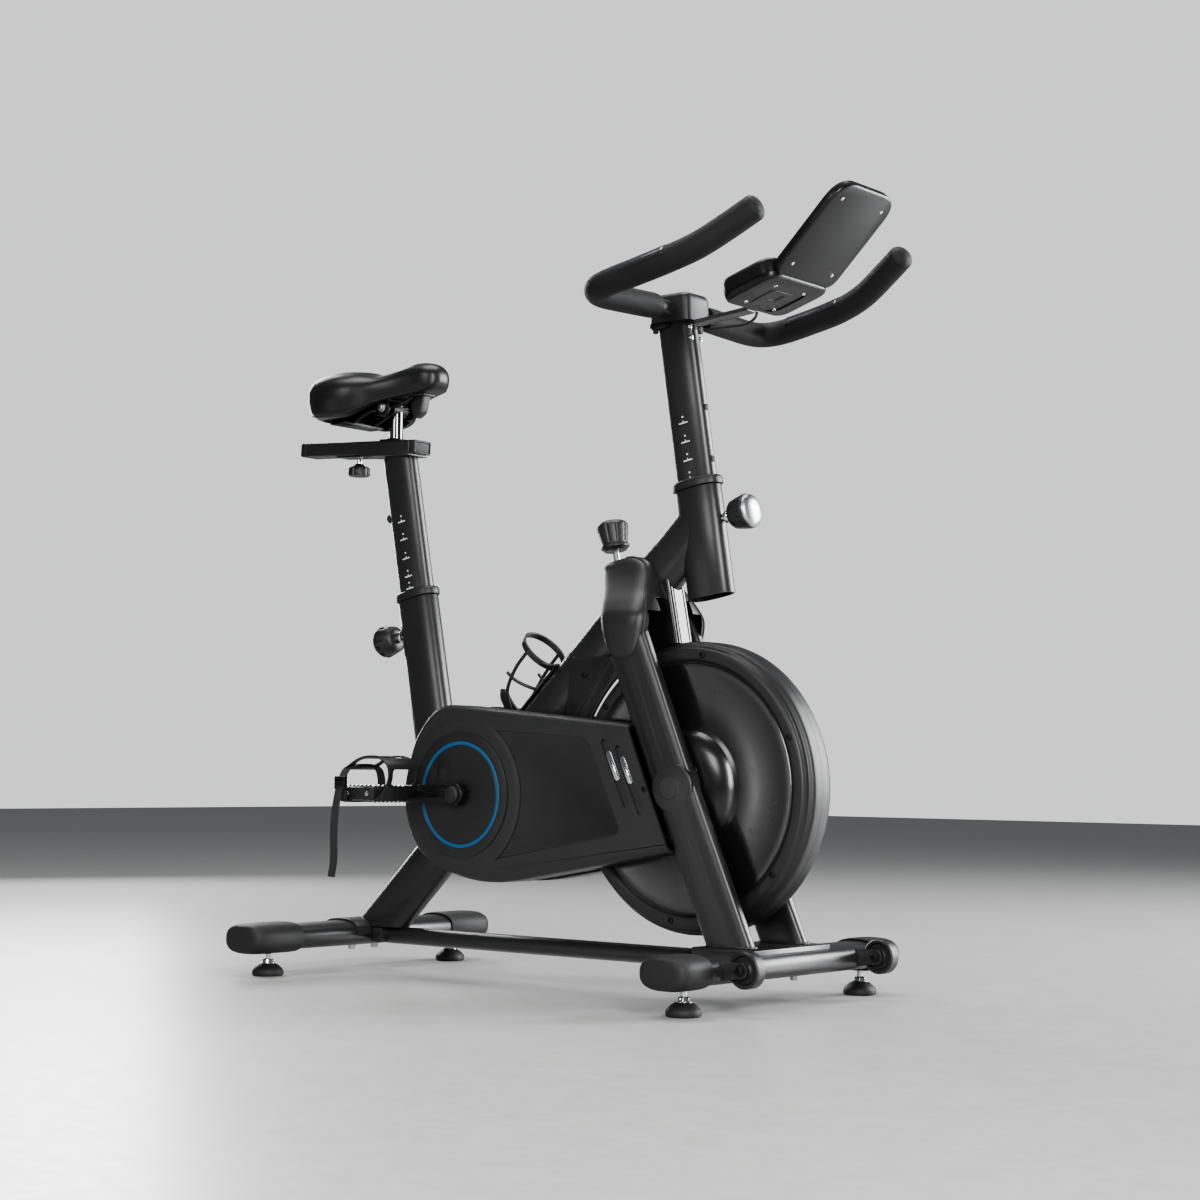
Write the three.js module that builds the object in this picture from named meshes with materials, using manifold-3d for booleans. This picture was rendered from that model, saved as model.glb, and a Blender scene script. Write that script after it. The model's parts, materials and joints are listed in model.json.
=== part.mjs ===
// An indoor cycle with an enclosed flywheel, in millimetres: +X forward, +Y to the rider's left, +Z up.
// The belt drive is on the right. The floor is at z = 0 and the frame's centre plane is y = 0.
import * as THREE from "three";
import { mergeVertices } from "three/addons/utils/BufferGeometryUtils.js";
import Module from "manifold-3d";

const wasm = await Module();
wasm.setup();

// ---- driving dimensions ----
const ORIGIN_X = 101.3; // the middle of the bike's length, which becomes x = 0
const GAP = 0.35; // clearance between pieces that touch
const SIDES = 16; // facets around a tube
const TUBE = { wide: 78, thin: 42, wall: 2.5 }; // frame tube section, fore-and-aft by across
const POST = { wide: 68, thin: 33, wall: 2 }; // sliding post section
const COLLAR = { wide: 84, thin: 48, tall: 14 };

const STABILIZER = { deep: 80, tall: 41, wall: 2.5, half: 240, z: 60, rearX: -322, frontX: 520 };
const CAP = { deep: 87, tall: 49, end: 272, rearStart: 172, frontStart: 206 };
const FOOT = { padRadius: 25, padTall: 20, studRadius: 5, studTop: 62, rearY: 211, frontY: 217.5 };
const WHEEL = { x: 589.5, y: 167.5, z: 63.6, radius: 25.5, width: 20, boltRadius: 4 };

const MAIN_LOW = [-285, 64.5]; // x and z of the main tube's axis at the rear stabilizer
const MAIN_HIGH = [352, 674]; // and where it meets the head tube
const SEAT_TOP = [-207.4, 612]; // top of the seat tube's axis
const SEAT_UP = [-0.193, 0.981]; // direction of the seat post
const HEAD_TOP = [373, 754]; // top of the head tube's axis
const HEAD_UP = [-0.163, 0.987]; // direction of the handlebar post
const HEAD_LENGTH = 166;

const CRANK = { x: -24, z: 292, length: 127, armIn: 91, armOut: 104, axle: 9.5 };
const AXLE = { x: 383, z: 308, radius: 8.5 }; // the flywheel's fixed axle
const FLYWHEEL = { radius: 184, rim: 26, rimHalf: 9, web: 3.5 };
const GUARD = { radius: 216, half: 36, wall: 3 };
const HUB = { radius: 86, face: 50.4 };
const BELT = { y: 43, half: 4, big: 94, small: 28, thick: 4 };
// The belt guard's inner edge and its outer faces, as distances from the centre plane.
const COVER = { inner: 22, right: 84, left: 72, wall: 3 };
const BAR = { radius: 12.5, foam: 19.5 };

// ---- materials ----
const paint = new THREE.MeshStandardMaterial({ color: 0x1b1b1c, roughness: 0.42, metalness: 0.35 });
const plastic = new THREE.MeshStandardMaterial({ color: 0x1f1f20, roughness: 0.6, metalness: 0 });
const gloss = new THREE.MeshStandardMaterial({ color: 0x111112, roughness: 0.2, metalness: 0 });
const rubber = new THREE.MeshStandardMaterial({ color: 0x161616, roughness: 0.85, metalness: 0 });
const foam = new THREE.MeshStandardMaterial({ color: 0x1a1a1a, roughness: 0.9, metalness: 0 });
const chrome = new THREE.MeshStandardMaterial({ color: 0xd8d8da, roughness: 0.12, metalness: 1 });
const steel = new THREE.MeshStandardMaterial({ color: 0x8a8c8f, roughness: 0.35, metalness: 1 });
const vinyl = new THREE.MeshStandardMaterial({ color: 0x151516, roughness: 0.5, metalness: 0 });

// ---- geometry helpers ----

// Turns a closed three.js geometry into a solid that can be joined and cut.
function solid(geometry) {
  const bare = new THREE.BufferGeometry();
  bare.setAttribute("position", geometry.getAttribute("position"));
  if (geometry.index) bare.setIndex(geometry.index);
  const merged = mergeVertices(bare, 1e-3);
  return new wasm.Manifold(
    new wasm.Mesh({
      numProp: 3,
      vertProperties: new Float32Array(merged.getAttribute("position").array),
      triVerts: new Uint32Array(merged.index.array),
    }),
  );
}

// Turns a solid back into a three.js geometry.
function geometryOf(shape) {
  const { vertProperties, triVerts } = shape.getMesh();
  const geometry = new THREE.BufferGeometry();
  geometry.setAttribute("position", new THREE.BufferAttribute(new Float32Array(vertProperties), 3));
  geometry.setIndex(new THREE.BufferAttribute(new Uint32Array(triVerts), 1));
  geometry.computeVertexNormals();
  return geometry;
}

const bike = new THREE.Group();
bike.position.x = -ORIGIN_X;

// Adds one named piece to the bike.
function piece(name, shape, material) {
  const mesh = new THREE.Mesh(geometryOf(shape), material);
  mesh.name = name;
  bike.add(mesh);
}

const join = (...shapes) => shapes.reduce((all, next) => all.add(next));
const cut = (shape, ...tools) => tools.reduce((left, tool) => left.subtract(tool), shape);
const mirrorY = (shape) => shape.mirror([0, 1, 0]);
const between = (a, b, t) => a.map((value, i) => value + (b[i] - value) * t);

// The matrix that puts local z along `direction`, local y along `sideways`, at `origin`.
function basis(origin, direction, sideways) {
  const z = new THREE.Vector3(...direction).normalize();
  const x = new THREE.Vector3(...sideways).cross(z).normalize();
  const y = new THREE.Vector3().crossVectors(z, x);
  return new THREE.Matrix4().makeBasis(x, y, z).setPosition(...origin);
}

// A crowned oval outline: a superellipse, `wide` along x by `thin` along y.
function oval(wide, thin, count = SIDES, power = 2.5) {
  const points = [];
  for (let i = 0; i < count; i++) {
    const angle = (2 * Math.PI * i) / count;
    const reach = (value) => Math.sign(value) * Math.abs(value) ** (2 / power);
    const x = (wide / 2) * reach(Math.cos(angle));
    const y = (thin / 2) * reach(Math.sin(angle));
    points.push(new THREE.Vector2(x, y));
  }
  return new THREE.Shape(points);
}

function extrude(outline, depth, matrix) {
  const geometry = new THREE.ExtrudeGeometry(outline, { depth, bevelEnabled: false, curveSegments: 5 });
  return solid(geometry.applyMatrix4(matrix));
}

// A straight bar of any outline in the centre plane, from one [x, z] point to another, moved by y.
function bar(outline, low, high, y = 0) {
  const direction = [high[0] - low[0], 0, high[1] - low[1]];
  return extrude(outline, Math.hypot(...direction), basis([low[0], y, low[1]], direction, [0, 1, 0]));
}

// A plate drawn in side view, as [x, z] points or a Shape, between two values of y.
function plate(outline, yLow, yHigh) {
  const shape = Array.isArray(outline)
    ? new THREE.Shape(outline.map(([x, z]) => new THREE.Vector2(x, z)))
    : outline;
  const matrix = new THREE.Matrix4().makeBasis(
    new THREE.Vector3(1, 0, 0),
    new THREE.Vector3(0, 0, 1),
    new THREE.Vector3(0, -1, 0),
  );
  return extrude(shape, yHigh - yLow, matrix.setPosition(0, yHigh, 0));
}

// A bar of oval section across the bike.
function crossBar(deep, tall, x, z, yLow, yHigh) {
  return extrude(oval(deep, tall), yHigh - yLow, basis([x, yLow, z], [0, 1, 0], [0, 0, 1]));
}

function cylinder(radius, from, to, sides = 24, endRadius = radius) {
  const start = new THREE.Vector3(...from);
  const axis = new THREE.Vector3(...to).sub(start);
  const geometry = new THREE.CylinderGeometry(endRadius, radius, axis.length(), sides);
  geometry.translate(0, axis.length() / 2, 0);
  geometry.applyQuaternion(
    new THREE.Quaternion().setFromUnitVectors(new THREE.Vector3(0, 1, 0), axis.normalize()),
  );
  return solid(geometry.translate(...from));
}

// A disc or ring about an axis across the bike, between two values of y.
const disc = (radius, x, z, yLow, yHigh, sides = 20) =>
  cylinder(radius, [x, yLow, z], [x, yHigh, z], sides);

function box(low, high) {
  const size = high.map((value, i) => value - low[i]);
  const middle = high.map((value, i) => (value + low[i]) / 2);
  return solid(new THREE.BoxGeometry(...size).translate(...middle));
}

// A turned piece: [radius, height] points from the axis back to the axis, about `direction`.
function turned(profile, origin, direction, sides = 32) {
  const points = profile.map(([r, h]) => new THREE.Vector2(r, h));
  const geometry = new THREE.LatheGeometry(points, sides);
  geometry.applyQuaternion(
    new THREE.Quaternion().setFromUnitVectors(
      new THREE.Vector3(0, 1, 0),
      new THREE.Vector3(...direction).normalize(),
    ),
  );
  return solid(geometry.translate(...origin));
}

// A skin through rings of equally many points, closed by a fan at each end.
function loft(rings) {
  const count = rings[0].length;
  const centre = (ring) => ring[0].map((_, k) => ring.reduce((sum, p) => sum + p[k], 0) / count);
  const points = [...rings.flat(), centre(rings[0]), centre(rings[rings.length - 1])];
  const index = [];
  for (let i = 0; i < count; i++) {
    const next = (i + 1) % count;
    index.push(points.length - 2, next, i);
    index.push(points.length - 1, (rings.length - 1) * count + i, (rings.length - 1) * count + next);
    for (let r = 0; r + 1 < rings.length; r++) {
      const a = r * count + i;
      const b = r * count + next;
      index.push(a, b, b + count, a, b + count, a + count);
    }
  }
  const geometry = new THREE.BufferGeometry();
  geometry.setAttribute("position", new THREE.Float32BufferAttribute(points.flat(), 3));
  geometry.setIndex(index);
  return solid(geometry);
}

// A round rod or hose along a smooth curve.
function sweep(points, radius, sides, steps) {
  const stops = points.map((p) => new THREE.Vector3(...p));
  const path = new THREE.CatmullRomCurve3(stops, false, "centripetal");
  const section = new THREE.Shape();
  for (let i = 0; i < sides; i++) {
    const angle = (2 * Math.PI * i) / sides;
    section[i ? "lineTo" : "moveTo"](radius * Math.cos(angle), radius * Math.sin(angle));
  }
  return solid(new THREE.ExtrudeGeometry(section, { steps, extrudePath: path, bevelEnabled: false }));
}

// A hollow oval tube in the centre plane.
function tube(section, low, high) {
  const reach = between(low, high, -0.02);
  const past = between(low, high, 1.02);
  const bore = oval(section.wide - 2 * section.wall, section.thin - 2 * section.wall);
  return cut(bar(oval(section.wide, section.thin), low, high), bar(bore, reach, past));
}

// The solid envelope of a tube, grown by a clearance.
const envelope = (section, low, high, grow = GAP) =>
  bar(oval(section.wide + 2 * grow, section.thin + 2 * grow), low, high);

const onAxis = ([x, z], [dx, dz], distance) => [x + dx * distance, z + dz * distance];

// ---- base ----

function stabilizer(x) {
  const { deep, tall, wall, half, z } = STABILIZER;
  const outside = crossBar(deep, tall, x, z, -half, half);
  return cut(outside, crossBar(deep - 2 * wall, tall - 2 * wall, x, z, -half - 1, half + 1));
}

const studHole = (x, y) => cylinder(FOOT.studRadius + GAP, [x, y, 0], [x, y, STABILIZER.z], 12);

// A rubber cap: a sleeve over the tube's end, and a bulb that closes it.
function endCap(x, start, footY) {
  const { deep, tall, end } = CAP;
  const ring = ([y, scale]) =>
    oval(deep * scale, tall * (0.35 + 0.65 * scale))
      .getPoints()
      .slice(0, SIDES)
      .map((p) => [x + p.x, y, STABILIZER.z + p.y]);
  const bulb = [
    [start, 0.98],
    [end - 26, 1],
    [end - 10, 0.9],
    [end, 0.5],
  ];
  const outside = loft(bulb.map(ring).reverse());
  const socket = crossBar(
    STABILIZER.deep + 2 * GAP,
    STABILIZER.tall + 2 * GAP,
    x,
    STABILIZER.z,
    start - 1,
    STABILIZER.half + GAP,
  );
  return cut(outside, socket, studHole(x, footY));
}

// A levelling foot: a domed rubber pad on a threaded stud with its nut.
function foot(x, y) {
  const { padRadius, padTall, studRadius, studTop } = FOOT;
  const profile = [
    [0, 0],
    [padRadius, 0],
    [padRadius, 8],
    [padRadius - 4, 14],
    [padRadius - 12, padTall],
    [studRadius + 4, padTall],
    [studRadius + 4, padTall + 5],
    [studRadius, padTall + 5],
    [studRadius, studTop],
    [0, studTop],
  ];
  return turned(profile, [x, y, 0], [0, 0, 1], 12);
}

function base() {
  const { rearX, frontX, z, half } = STABILIZER;
  let rear = stabilizer(rearX);
  let front = stabilizer(frontX);
  for (const side of [-1, 1]) {
    rear = cut(rear, studHole(rearX, side * FOOT.rearY));
    front = cut(front, studHole(frontX, side * FOOT.frontY));
  }
  // Each transport wheel turns on a bolt between two arms on the front stabilizer.
  const arms = [];
  for (const side of [-1, 1]) {
    for (const edge of [-1, 1]) {
      const y = side * WHEEL.y + edge * (WHEEL.width / 2 + 3);
      const outline = new THREE.Shape();
      outline.moveTo(frontX + 20, z - 14);
      outline.lineTo(WHEEL.x, WHEEL.z - 11);
      outline.absarc(WHEEL.x, WHEEL.z, 11, -Math.PI / 2, Math.PI / 2);
      outline.lineTo(frontX + 20, z + 14);
      arms.push(plate(outline, y - 2, y + 2));
    }
    const reach = WHEEL.width / 2 + 5;
    const [low, high] = [side * WHEEL.y - reach, side * WHEEL.y + reach];
    arms.push(disc(WHEEL.boltRadius, WHEEL.x, WHEEL.z, low, high, 12));
  }
  const hollow = crossBar(STABILIZER.deep - 4, STABILIZER.tall - 4, frontX, z, -half, half);
  const forkPlate = box([440, -96, 79], [548, 96, 83]);
  front = join(front, cut(join(...arms), hollow), cut(forkPlate, hollow));

  piece("rear_stabilizer", rear, paint);
  piece("front_stabilizer", front, paint);
  const sides = { right: mirrorY, left: (shape) => shape };
  for (const [side, turn] of Object.entries(sides)) {
    piece("rear_cap_" + side, turn(endCap(rearX, CAP.rearStart, FOOT.rearY)), rubber);
    piece("front_cap_" + side, turn(endCap(frontX, CAP.frontStart, FOOT.frontY)), rubber);
    piece("rear_foot_" + side, turn(foot(rearX, FOOT.rearY)), rubber);
    piece("front_foot_" + side, turn(foot(frontX, FOOT.frontY)), rubber);
    piece("transport_wheel_" + side, turn(transportWheel()), rubber);
  }

  // The rail bolts to both stabilizers through a flat tab at each end.
  const rail = join(
    cylinder(14, [-262, 0, 58], [462, 0, 58], 14),
    box([rearX + STABILIZER.deep / 2 + GAP, -24, 46], [-258, 24, 70]),
    box([458, -24, 46], [frontX - STABILIZER.deep / 2 - GAP, 24, 70]),
  );
  piece("base_rail", rail, paint);
}

function transportWheel() {
  const { x, y, z, radius, width, boltRadius } = WHEEL;
  const half = width / 2;
  const tyre = disc(radius, x, z, y - half, y + half);
  return cut(tyre, disc(boltRadius + 0.1, x, z, y - half - 1, y + half + 1, 12));
}

// ---- frame ----

const SEAT_FOOT = onAxis(SEAT_TOP, SEAT_UP, -400);
const HEAD_FOOT = onAxis(HEAD_TOP, HEAD_UP, -HEAD_LENGTH);
const SHELL = { radius: 24, bore: 19.5, half: 34 };
const LEG = { wide: 74, thin: 26, y: 65.5 };
const LEG_TOP = [268, 588];
const LEG_FOOT = [487, 83.4];

// The sleeve that sits on the middle of the rear stabilizer.
function rearSaddle() {
  const { rearX, z, deep, tall } = STABILIZER;
  const outside = crossBar(deep + 8, tall + 8, rearX, z, -54, 54);
  const inside = crossBar(deep + 2 * GAP, tall + 2 * GAP, rearX, z, -55, 55);
  const lowerHalf = box([rearX - 60, -56, 0], [rearX + 60, 56, z - 2]);
  const railTab = box([rearX, -25, 0], [rearX + 90, 25, 71]);
  return cut(outside, inside, lowerHalf, railTab);
}

function mainTube() {
  const { rearX, z, deep, tall } = STABILIZER;
  const low = between(MAIN_LOW, MAIN_HIGH, -0.06);
  const clearOfBase = crossBar(deep + 2, tall + 2, rearX, z, -60, 60);
  const floorCut = box([-400, -40, -60], [-150, 40, 72]);
  const headTube = envelope(TUBE, HEAD_FOOT, HEAD_TOP);
  const shell = disc(SHELL.radius, CRANK.x, CRANK.z, -SHELL.half, SHELL.half, 20);
  const bore = disc(SHELL.bore, CRANK.x, CRANK.z, -SHELL.half - 1, SHELL.half + 1, 20);
  const high = between(MAIN_LOW, MAIN_HIGH, 1.046);
  const diagonal = cut(tube(TUBE, low, high), clearOfBase, floorCut, headTube, rodHole(6.5));
  return cut(join(diagonal, shell, rearSaddle()), bore);
}

// A fork leg's body: an upper and a lower tube that meet in a round pad at the flywheel's axle.
function legBody(grow = 0) {
  const { wide, thin, y } = LEG;
  const knee = [AXLE.x + 4, AXLE.z];
  const section = oval(wide + 2 * grow, thin + 2 * grow, SIDES, 3);
  const upper = bar(section, knee, LEG_TOP, y);
  const lower = bar(section, onAxis(LEG_FOOT, [0.42, -0.9], 20), knee, y);
  const half = thin / 2 + grow;
  return join(upper, lower, disc(wide / 2 + grow, ...knee, y - half, y + half, 20));
}

function forkLeg() {
  const floorCut = box([380, 40, -20], [600, 90, LEG_FOOT[1]]);
  const bore = disc(AXLE.radius + GAP, AXLE.x, AXLE.z, 40, LEG.y + LEG.thin / 2 - 4, 20);
  return cut(legBody(), legBody(-2.5), floorCut, bore);
}

function frame() {
  piece("main_tube", mainTube(), paint);
  const mainEnvelope = envelope(TUBE, MAIN_LOW, MAIN_HIGH);
  const seatTube = cut(tube(TUBE, SEAT_FOOT, SEAT_TOP), mainEnvelope, belowMainTube(), seatPinHole());
  piece("seat_tube", seatTube, paint);
  piece("head_tube", cut(tube(TUBE, HEAD_FOOT, HEAD_TOP), headPinHole()), paint);
  const leg = forkLeg();
  piece("fork_leg_left", leg, paint);
  piece("fork_leg_right", mirrorY(leg), paint);
  piece("seat_tube_bush", cut(bush(SEAT_TOP, SEAT_UP), seatPinHole()), plastic);
  piece("head_tube_bush", cut(bush(HEAD_TOP, HEAD_UP), headPinHole()), plastic);
}

// Everything under the main tube's axis, which the seat tube must not reach.
function belowMainTube() {
  const low = between(MAIN_LOW, MAIN_HIGH, -0.2);
  return plate([low, MAIN_HIGH, [MAIN_HIGH[0], -200], [low[0], -200]], -60, 60);
}

// The plastic bush in the top of a tube: a flange on the rim and a sleeve around the post.
function bush(top, up) {
  const bottom = onAxis(top, up, -70);
  const rim = onAxis(top, up, GAP);
  const flange = bar(oval(COLLAR.wide, COLLAR.thin), rim, onAxis(rim, up, COLLAR.tall));
  const sleeve = bar(
    oval(TUBE.wide - 2 * TUBE.wall - 2 * GAP, TUBE.thin - 2 * TUBE.wall - 2 * GAP),
    bottom,
    onAxis(rim, up, 1),
  );
  const bore = envelope(POST, onAxis(bottom, up, -1), onAxis(rim, up, 30), 0.4);
  return cut(join(flange, sleeve), bore);
}

// ---- covers ----

// Corner points [x, z, radius] joined by straight edges and rounded corners.
function rounded(corners) {
  const shape = new THREE.Shape();
  corners.forEach(([x, z, radius], i) => {
    const before = corners[(i + corners.length - 1) % corners.length];
    const after = corners[(i + 1) % corners.length];
    const towards = ([tx, tz]) => {
      const distance = Math.hypot(tx - x, tz - z);
      return [x + ((tx - x) * radius) / distance, z + ((tz - z) * radius) / distance];
    };
    shape[i ? "lineTo" : "moveTo"](...towards(before));
    shape.quadraticCurveTo(x, z, ...towards(after));
  });
  return shape;
}

// A slab with chamfered edges, drawn in side view and inset by `inset` all round.
function pillow(outline, yLow, yHigh, chamfer, inset = 0) {
  const edge = chamfer * 0.9;
  const geometry = new THREE.ExtrudeGeometry(outline, {
    depth: yHigh - yLow - 2 * chamfer,
    bevelThickness: chamfer,
    bevelSize: edge,
    bevelOffset: -edge - inset,
    bevelSegments: 1,
    curveSegments: 3,
  });
  geometry.rotateX(Math.PI / 2);
  return solid(geometry.translate(0, yHigh - chamfer, 0));
}

const COVER_OUTLINE = rounded([
  [-84, 436, 38],
  [322, 400, 18],
  [404, 217, 18],
  [5, 148, 84],
  [-150, 205, 76],
  [-146, 366, 52],
]);
const PANEL_OUTLINE = rounded([
  [-40, 398, 20],
  [232, 382, 16],
  [300, 238, 16],
  [-20, 180, 30],
]);

// The space that the flywheel guard, its hub domes and a fork leg take out of a belt guard shell.
function coverClearance() {
  const grown = 1.2;
  const leg = legBody(grown);
  const outwards = join(leg, leg.translate([0, 12, 0]), leg.translate([0, 24, 0]));
  return join(
    disc(GUARD.radius + grown, AXLE.x, AXLE.z, -GUARD.half - grown, GUARD.half + grown, 32),
    disc(HUB.radius + grown, AXLE.x, AXLE.z, 0, HUB.face + grown, 24),
    outwards,
  );
}

// One belt guard shell on the left; the right one is its mirror image, deeper.
function beltGuard(face) {
  const { inner, wall } = COVER;
  const chamfer = 10;
  const outside = pillow(COVER_OUTLINE, inner - 2 * chamfer, face, chamfer);
  const inside = pillow(COVER_OUTLINE, inner - 2 * chamfer, face - wall, chamfer - wall, wall);
  const innerSide = box([-400, inner - 60, 0], [600, inner, 700]);
  const boss = disc(117, CRANK.x, CRANK.z, face - wall, face + 1.6, 24);
  const recess = cut(
    plate(PANEL_OUTLINE, face - 1.6, face + 1),
    disc(120, CRANK.x, CRANK.z, face - 5, face + 5, 24),
  );
  const axleHole = disc(15, CRANK.x, CRANK.z, inner - 1, face + 10);
  return cut(join(cut(outside, inside, innerSide), boss), recess, coverClearance(), axleHole);
}

// One half of the flywheel guard: a stepped rim, a dished side and a hub dome.
function flywheelGuard() {
  const { radius, half, wall } = GUARD;
  const bore = AXLE.radius + GAP;
  const outer = [
    [bore, HUB.face],
    [42, HUB.face],
    [74, HUB.face - 6],
    [HUB.radius, 33],
    [184, 33],
    [186, half],
    [206, half],
    [209, 22],
    [radius, 18],
    [radius, 0.3],
  ];
  const inner = [
    [radius - wall, 0.3],
    [radius - wall, 16],
    [203, 30],
    [83, 30],
    [72, HUB.face - 9],
    [42, HUB.face - 2.6],
    [bore, HUB.face - 2.6],
  ];
  const profile = [...outer, ...inner, outer[0]].reverse();
  const shell = turned(profile, [AXLE.x, 0, AXLE.z], [0, 1, 0], 28);
  return cut(shell, rodHole(7));
}

function covers() {
  const beltSlot = box(
    [AXLE.x - 110, -HUB.face + 2, AXLE.z - 48],
    [AXLE.x - 22, -GUARD.half - 1, AXLE.z + 48],
  );
  const half = flywheelGuard();
  piece("flywheel_guard_left", half, gloss);
  piece("flywheel_guard_right", cut(mirrorY(half), beltSlot), gloss);
  piece("belt_guard_left", beltGuard(COVER.left), plastic);
  piece("belt_guard_right", mirrorY(beltGuard(COVER.right)), plastic);
  const coverFace = -COVER.right - 1.6 - GAP;
  const cover = cut(
    disc(99, CRANK.x, CRANK.z, coverFace - 2, coverFace, 24),
    disc(15, CRANK.x, CRANK.z, coverFace - 3, coverFace + 1),
  );
  piece("crank_cover", cover, plastic);
  piece("neck_shroud", neckShroud(), plastic);
  piece("brake_fairing", brakeFairing(), gloss);
}

// The neck shroud's level sections: height, rear x, front x and half-width.
const SHROUD = [
  [496, 285, 303, 77.5],
  [500, 270, 316, 81.5],
  [509, 258, 325, 84.5],
  [530, 248, 332, 85.5],
  [560, 240, 337, 85],
  [582, 232, 331, 72],
  [602, 224, 321, 56],
  [622, 215, 312, 42],
  [640, 209, 301, 32],
  [653, 205, 276, 25],
  [659, 211, 250, 15],
];

// The skin of the neck shroud, drawn in by `inwards` all round. Its top is square to the brake rod.
function shroudSkin(inwards) {
  const top = SHROUD[SHROUD.length - 1][0];
  const section = ([z, rear, front, half]) => {
    const middle = (rear + front) / 2;
    const tilt = 0.19 * Math.min(Math.max((z - 600) / 60, 0), 1);
    return oval(front - rear - 2 * inwards, 2 * (half - inwards), SIDES, 5)
      .getPoints()
      .slice(0, SIDES)
      .map((p) => [middle + p.x, p.y, Math.min(z, top - inwards) + tilt * (middle + p.x - 262)]);
  };
  return loft(SHROUD.map(section));
}

// The shell around the joint of the main tube and the fork: a collar over the tube, with the pull rod's
// boss on top, and a tongue down the outside of each leg.
function neckShroud() {
  const inside = shroudSkin(3).translate([0, 0, -0.5]);
  const betweenLegs = box([100, -LEG.y, 480], [400, LEG.y, 570]);
  const frontGap = box([262, -40, 480], [400, 40, 590]);
  const fairingWay = pillow(fairingOutline(1), -21, 21, 6);
  const legs = legBody(1);
  const tubes = envelope(TUBE, MAIN_LOW, between(MAIN_LOW, MAIN_HIGH, 1.1), 1);
  return largest(
    cut(shroudSkin(0), inside, betweenLegs, frontGap, fairingWay, tubes, legs, mirrorY(legs), rodHole(7)),
  );
}

const fairingOutline = (grow) =>
  rounded([
    [262 - grow, 640 + grow, 14],
    [329 + grow, 640 + grow, 14],
    [357 + grow, 500 - grow, 14],
    [262 - grow, 500 - grow, 14],
  ]);

// The box that joins the flywheel guard to the neck.
function brakeFairing() {
  const outside = pillow(fairingOutline(0), -20, 20, 6);
  const inside = pillow(fairingOutline(0), -17, 17, 3, 3);
  const below = box([200, -30, 400], [420, 30, 512]);
  const guard = disc(GUARD.radius + 1, AXLE.x, AXLE.z, -40, 40, 32);
  const tubes = join(envelope(TUBE, MAIN_LOW, MAIN_HIGH, 1), envelope(TUBE, HEAD_FOOT, HEAD_TOP, 1));
  return largest(cut(outside, inside, below, guard, tubes, aboveMainTube()));
}

// Everything above the main tube's axis, which the fairing must not reach.
function aboveMainTube() {
  const high = between(MAIN_LOW, MAIN_HIGH, 1.2);
  return plate([MAIN_LOW, high, [high[0], 900], [MAIN_LOW[0], 900]], -60, 60);
}

// The main body of a cut piece, where the cut leaves loose corners.
const largest = (shape) => shape.decompose().sort((a, b) => b.volume() - a.volume())[0];

// ---- drive ----

// The outline of a belt around the crank pulley and the flywheel pulley, at two radii.
function beltLoop(big, small) {
  const dx = AXLE.x - CRANK.x;
  const dz = AXLE.z - CRANK.z;
  const angle = Math.atan2(dz, dx);
  const spread = Math.acos((big - small) / Math.hypot(dx, dz));
  const shape = new THREE.Shape();
  shape.absarc(CRANK.x, CRANK.z, big, angle + spread, angle - spread + 2 * Math.PI);
  shape.absarc(AXLE.x, AXLE.z, small, angle - spread, angle + spread);
  return new THREE.Shape(shape.getPoints(9));
}

function crankArm() {
  const { x, z, length, armIn, armOut, axle } = CRANK;
  const shape = new THREE.Shape();
  shape.absarc(x, z, 18, -1.25, 1.25);
  shape.absarc(x - length, z, 13, 1.7, 4.58);
  const arm = plate(new THREE.Shape(shape.getPoints(6)), armIn, armOut);
  const spindle = disc(6, x - length, z, armOut - 1, PEDAL.out - 3, 12);
  return cut(join(arm, spindle), disc(axle + GAP, x, z, armIn - 1, armOut + 1, 16));
}

const PEDAL = { in: 110, out: 188, half: 36, thick: 22 };

// The platform of a pedal: two cross bars and two side plates around a barrel on the spindle.
function pedal(x) {
  const { in: low, out, half, thick } = PEDAL;
  const z = CRANK.z;
  const body = pillow(
    rounded([
      [x - half, z - thick / 2, 6],
      [x + half, z - thick / 2, 6],
      [x + half, z + thick / 2, 6],
      [x - half, z + thick / 2, 6],
    ]),
    low,
    out,
    4,
  );
  const windows = [-1, 1].map((side) => {
    const middle = x + side * 22;
    return box([middle - 9, low + 8, z - thick], [middle + 9, out - 8, z + thick]);
  });
  return cut(body, ...windows, disc(6 + GAP, x, z, low - 1, out - 2, 12));
}

// A strip of constant thickness that follows a smooth curve drawn in side view.
function strip(points, thickness, steps) {
  const path = new THREE.SplineCurve(points.map((p) => new THREE.Vector2(...p)));
  const line = path.getSpacedPoints(steps);
  const offset = (side) =>
    line.map((p, i) => {
      const before = line[Math.max(i - 1, 0)];
      const after = line[Math.min(i + 1, steps)];
      const along = after.clone().sub(before).normalize();
      return new THREE.Vector2(p.x - along.y * side, p.y + along.x * side);
    });
  return new THREE.Shape([...offset(thickness / 2), ...offset(-thickness / 2).reverse()]);
}

// A toe cage: a band bolted to the pedal's front edge that arches back over the shoe.
function toeCage(x) {
  const z = CRANK.z;
  const front = x + PEDAL.half + 2;
  const path = [
    [front, z - 9],
    [front + 14, z + 2],
    [front + 27, z + 24],
    [front + 22, z + 46],
    [front - 4, z + 58],
    [front - 38, z + 55],
    [front - 72, z + 38],
  ];
  const band = plate(strip(path, 2.6, 14), PEDAL.in + 6, PEDAL.out - 4);
  const windows = [
    [front + 4, z + 14, front + 40, z + 36],
    [front - 26, z + 40, front + 6, z + 80],
    [front - 60, z + 30, front - 36, z + 70],
  ].map(([x0, z0, x1, z1]) => box([x0, PEDAL.in + 16, z0], [x1, PEDAL.out - 14, z1]));
  return cut(band, ...windows);
}

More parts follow.
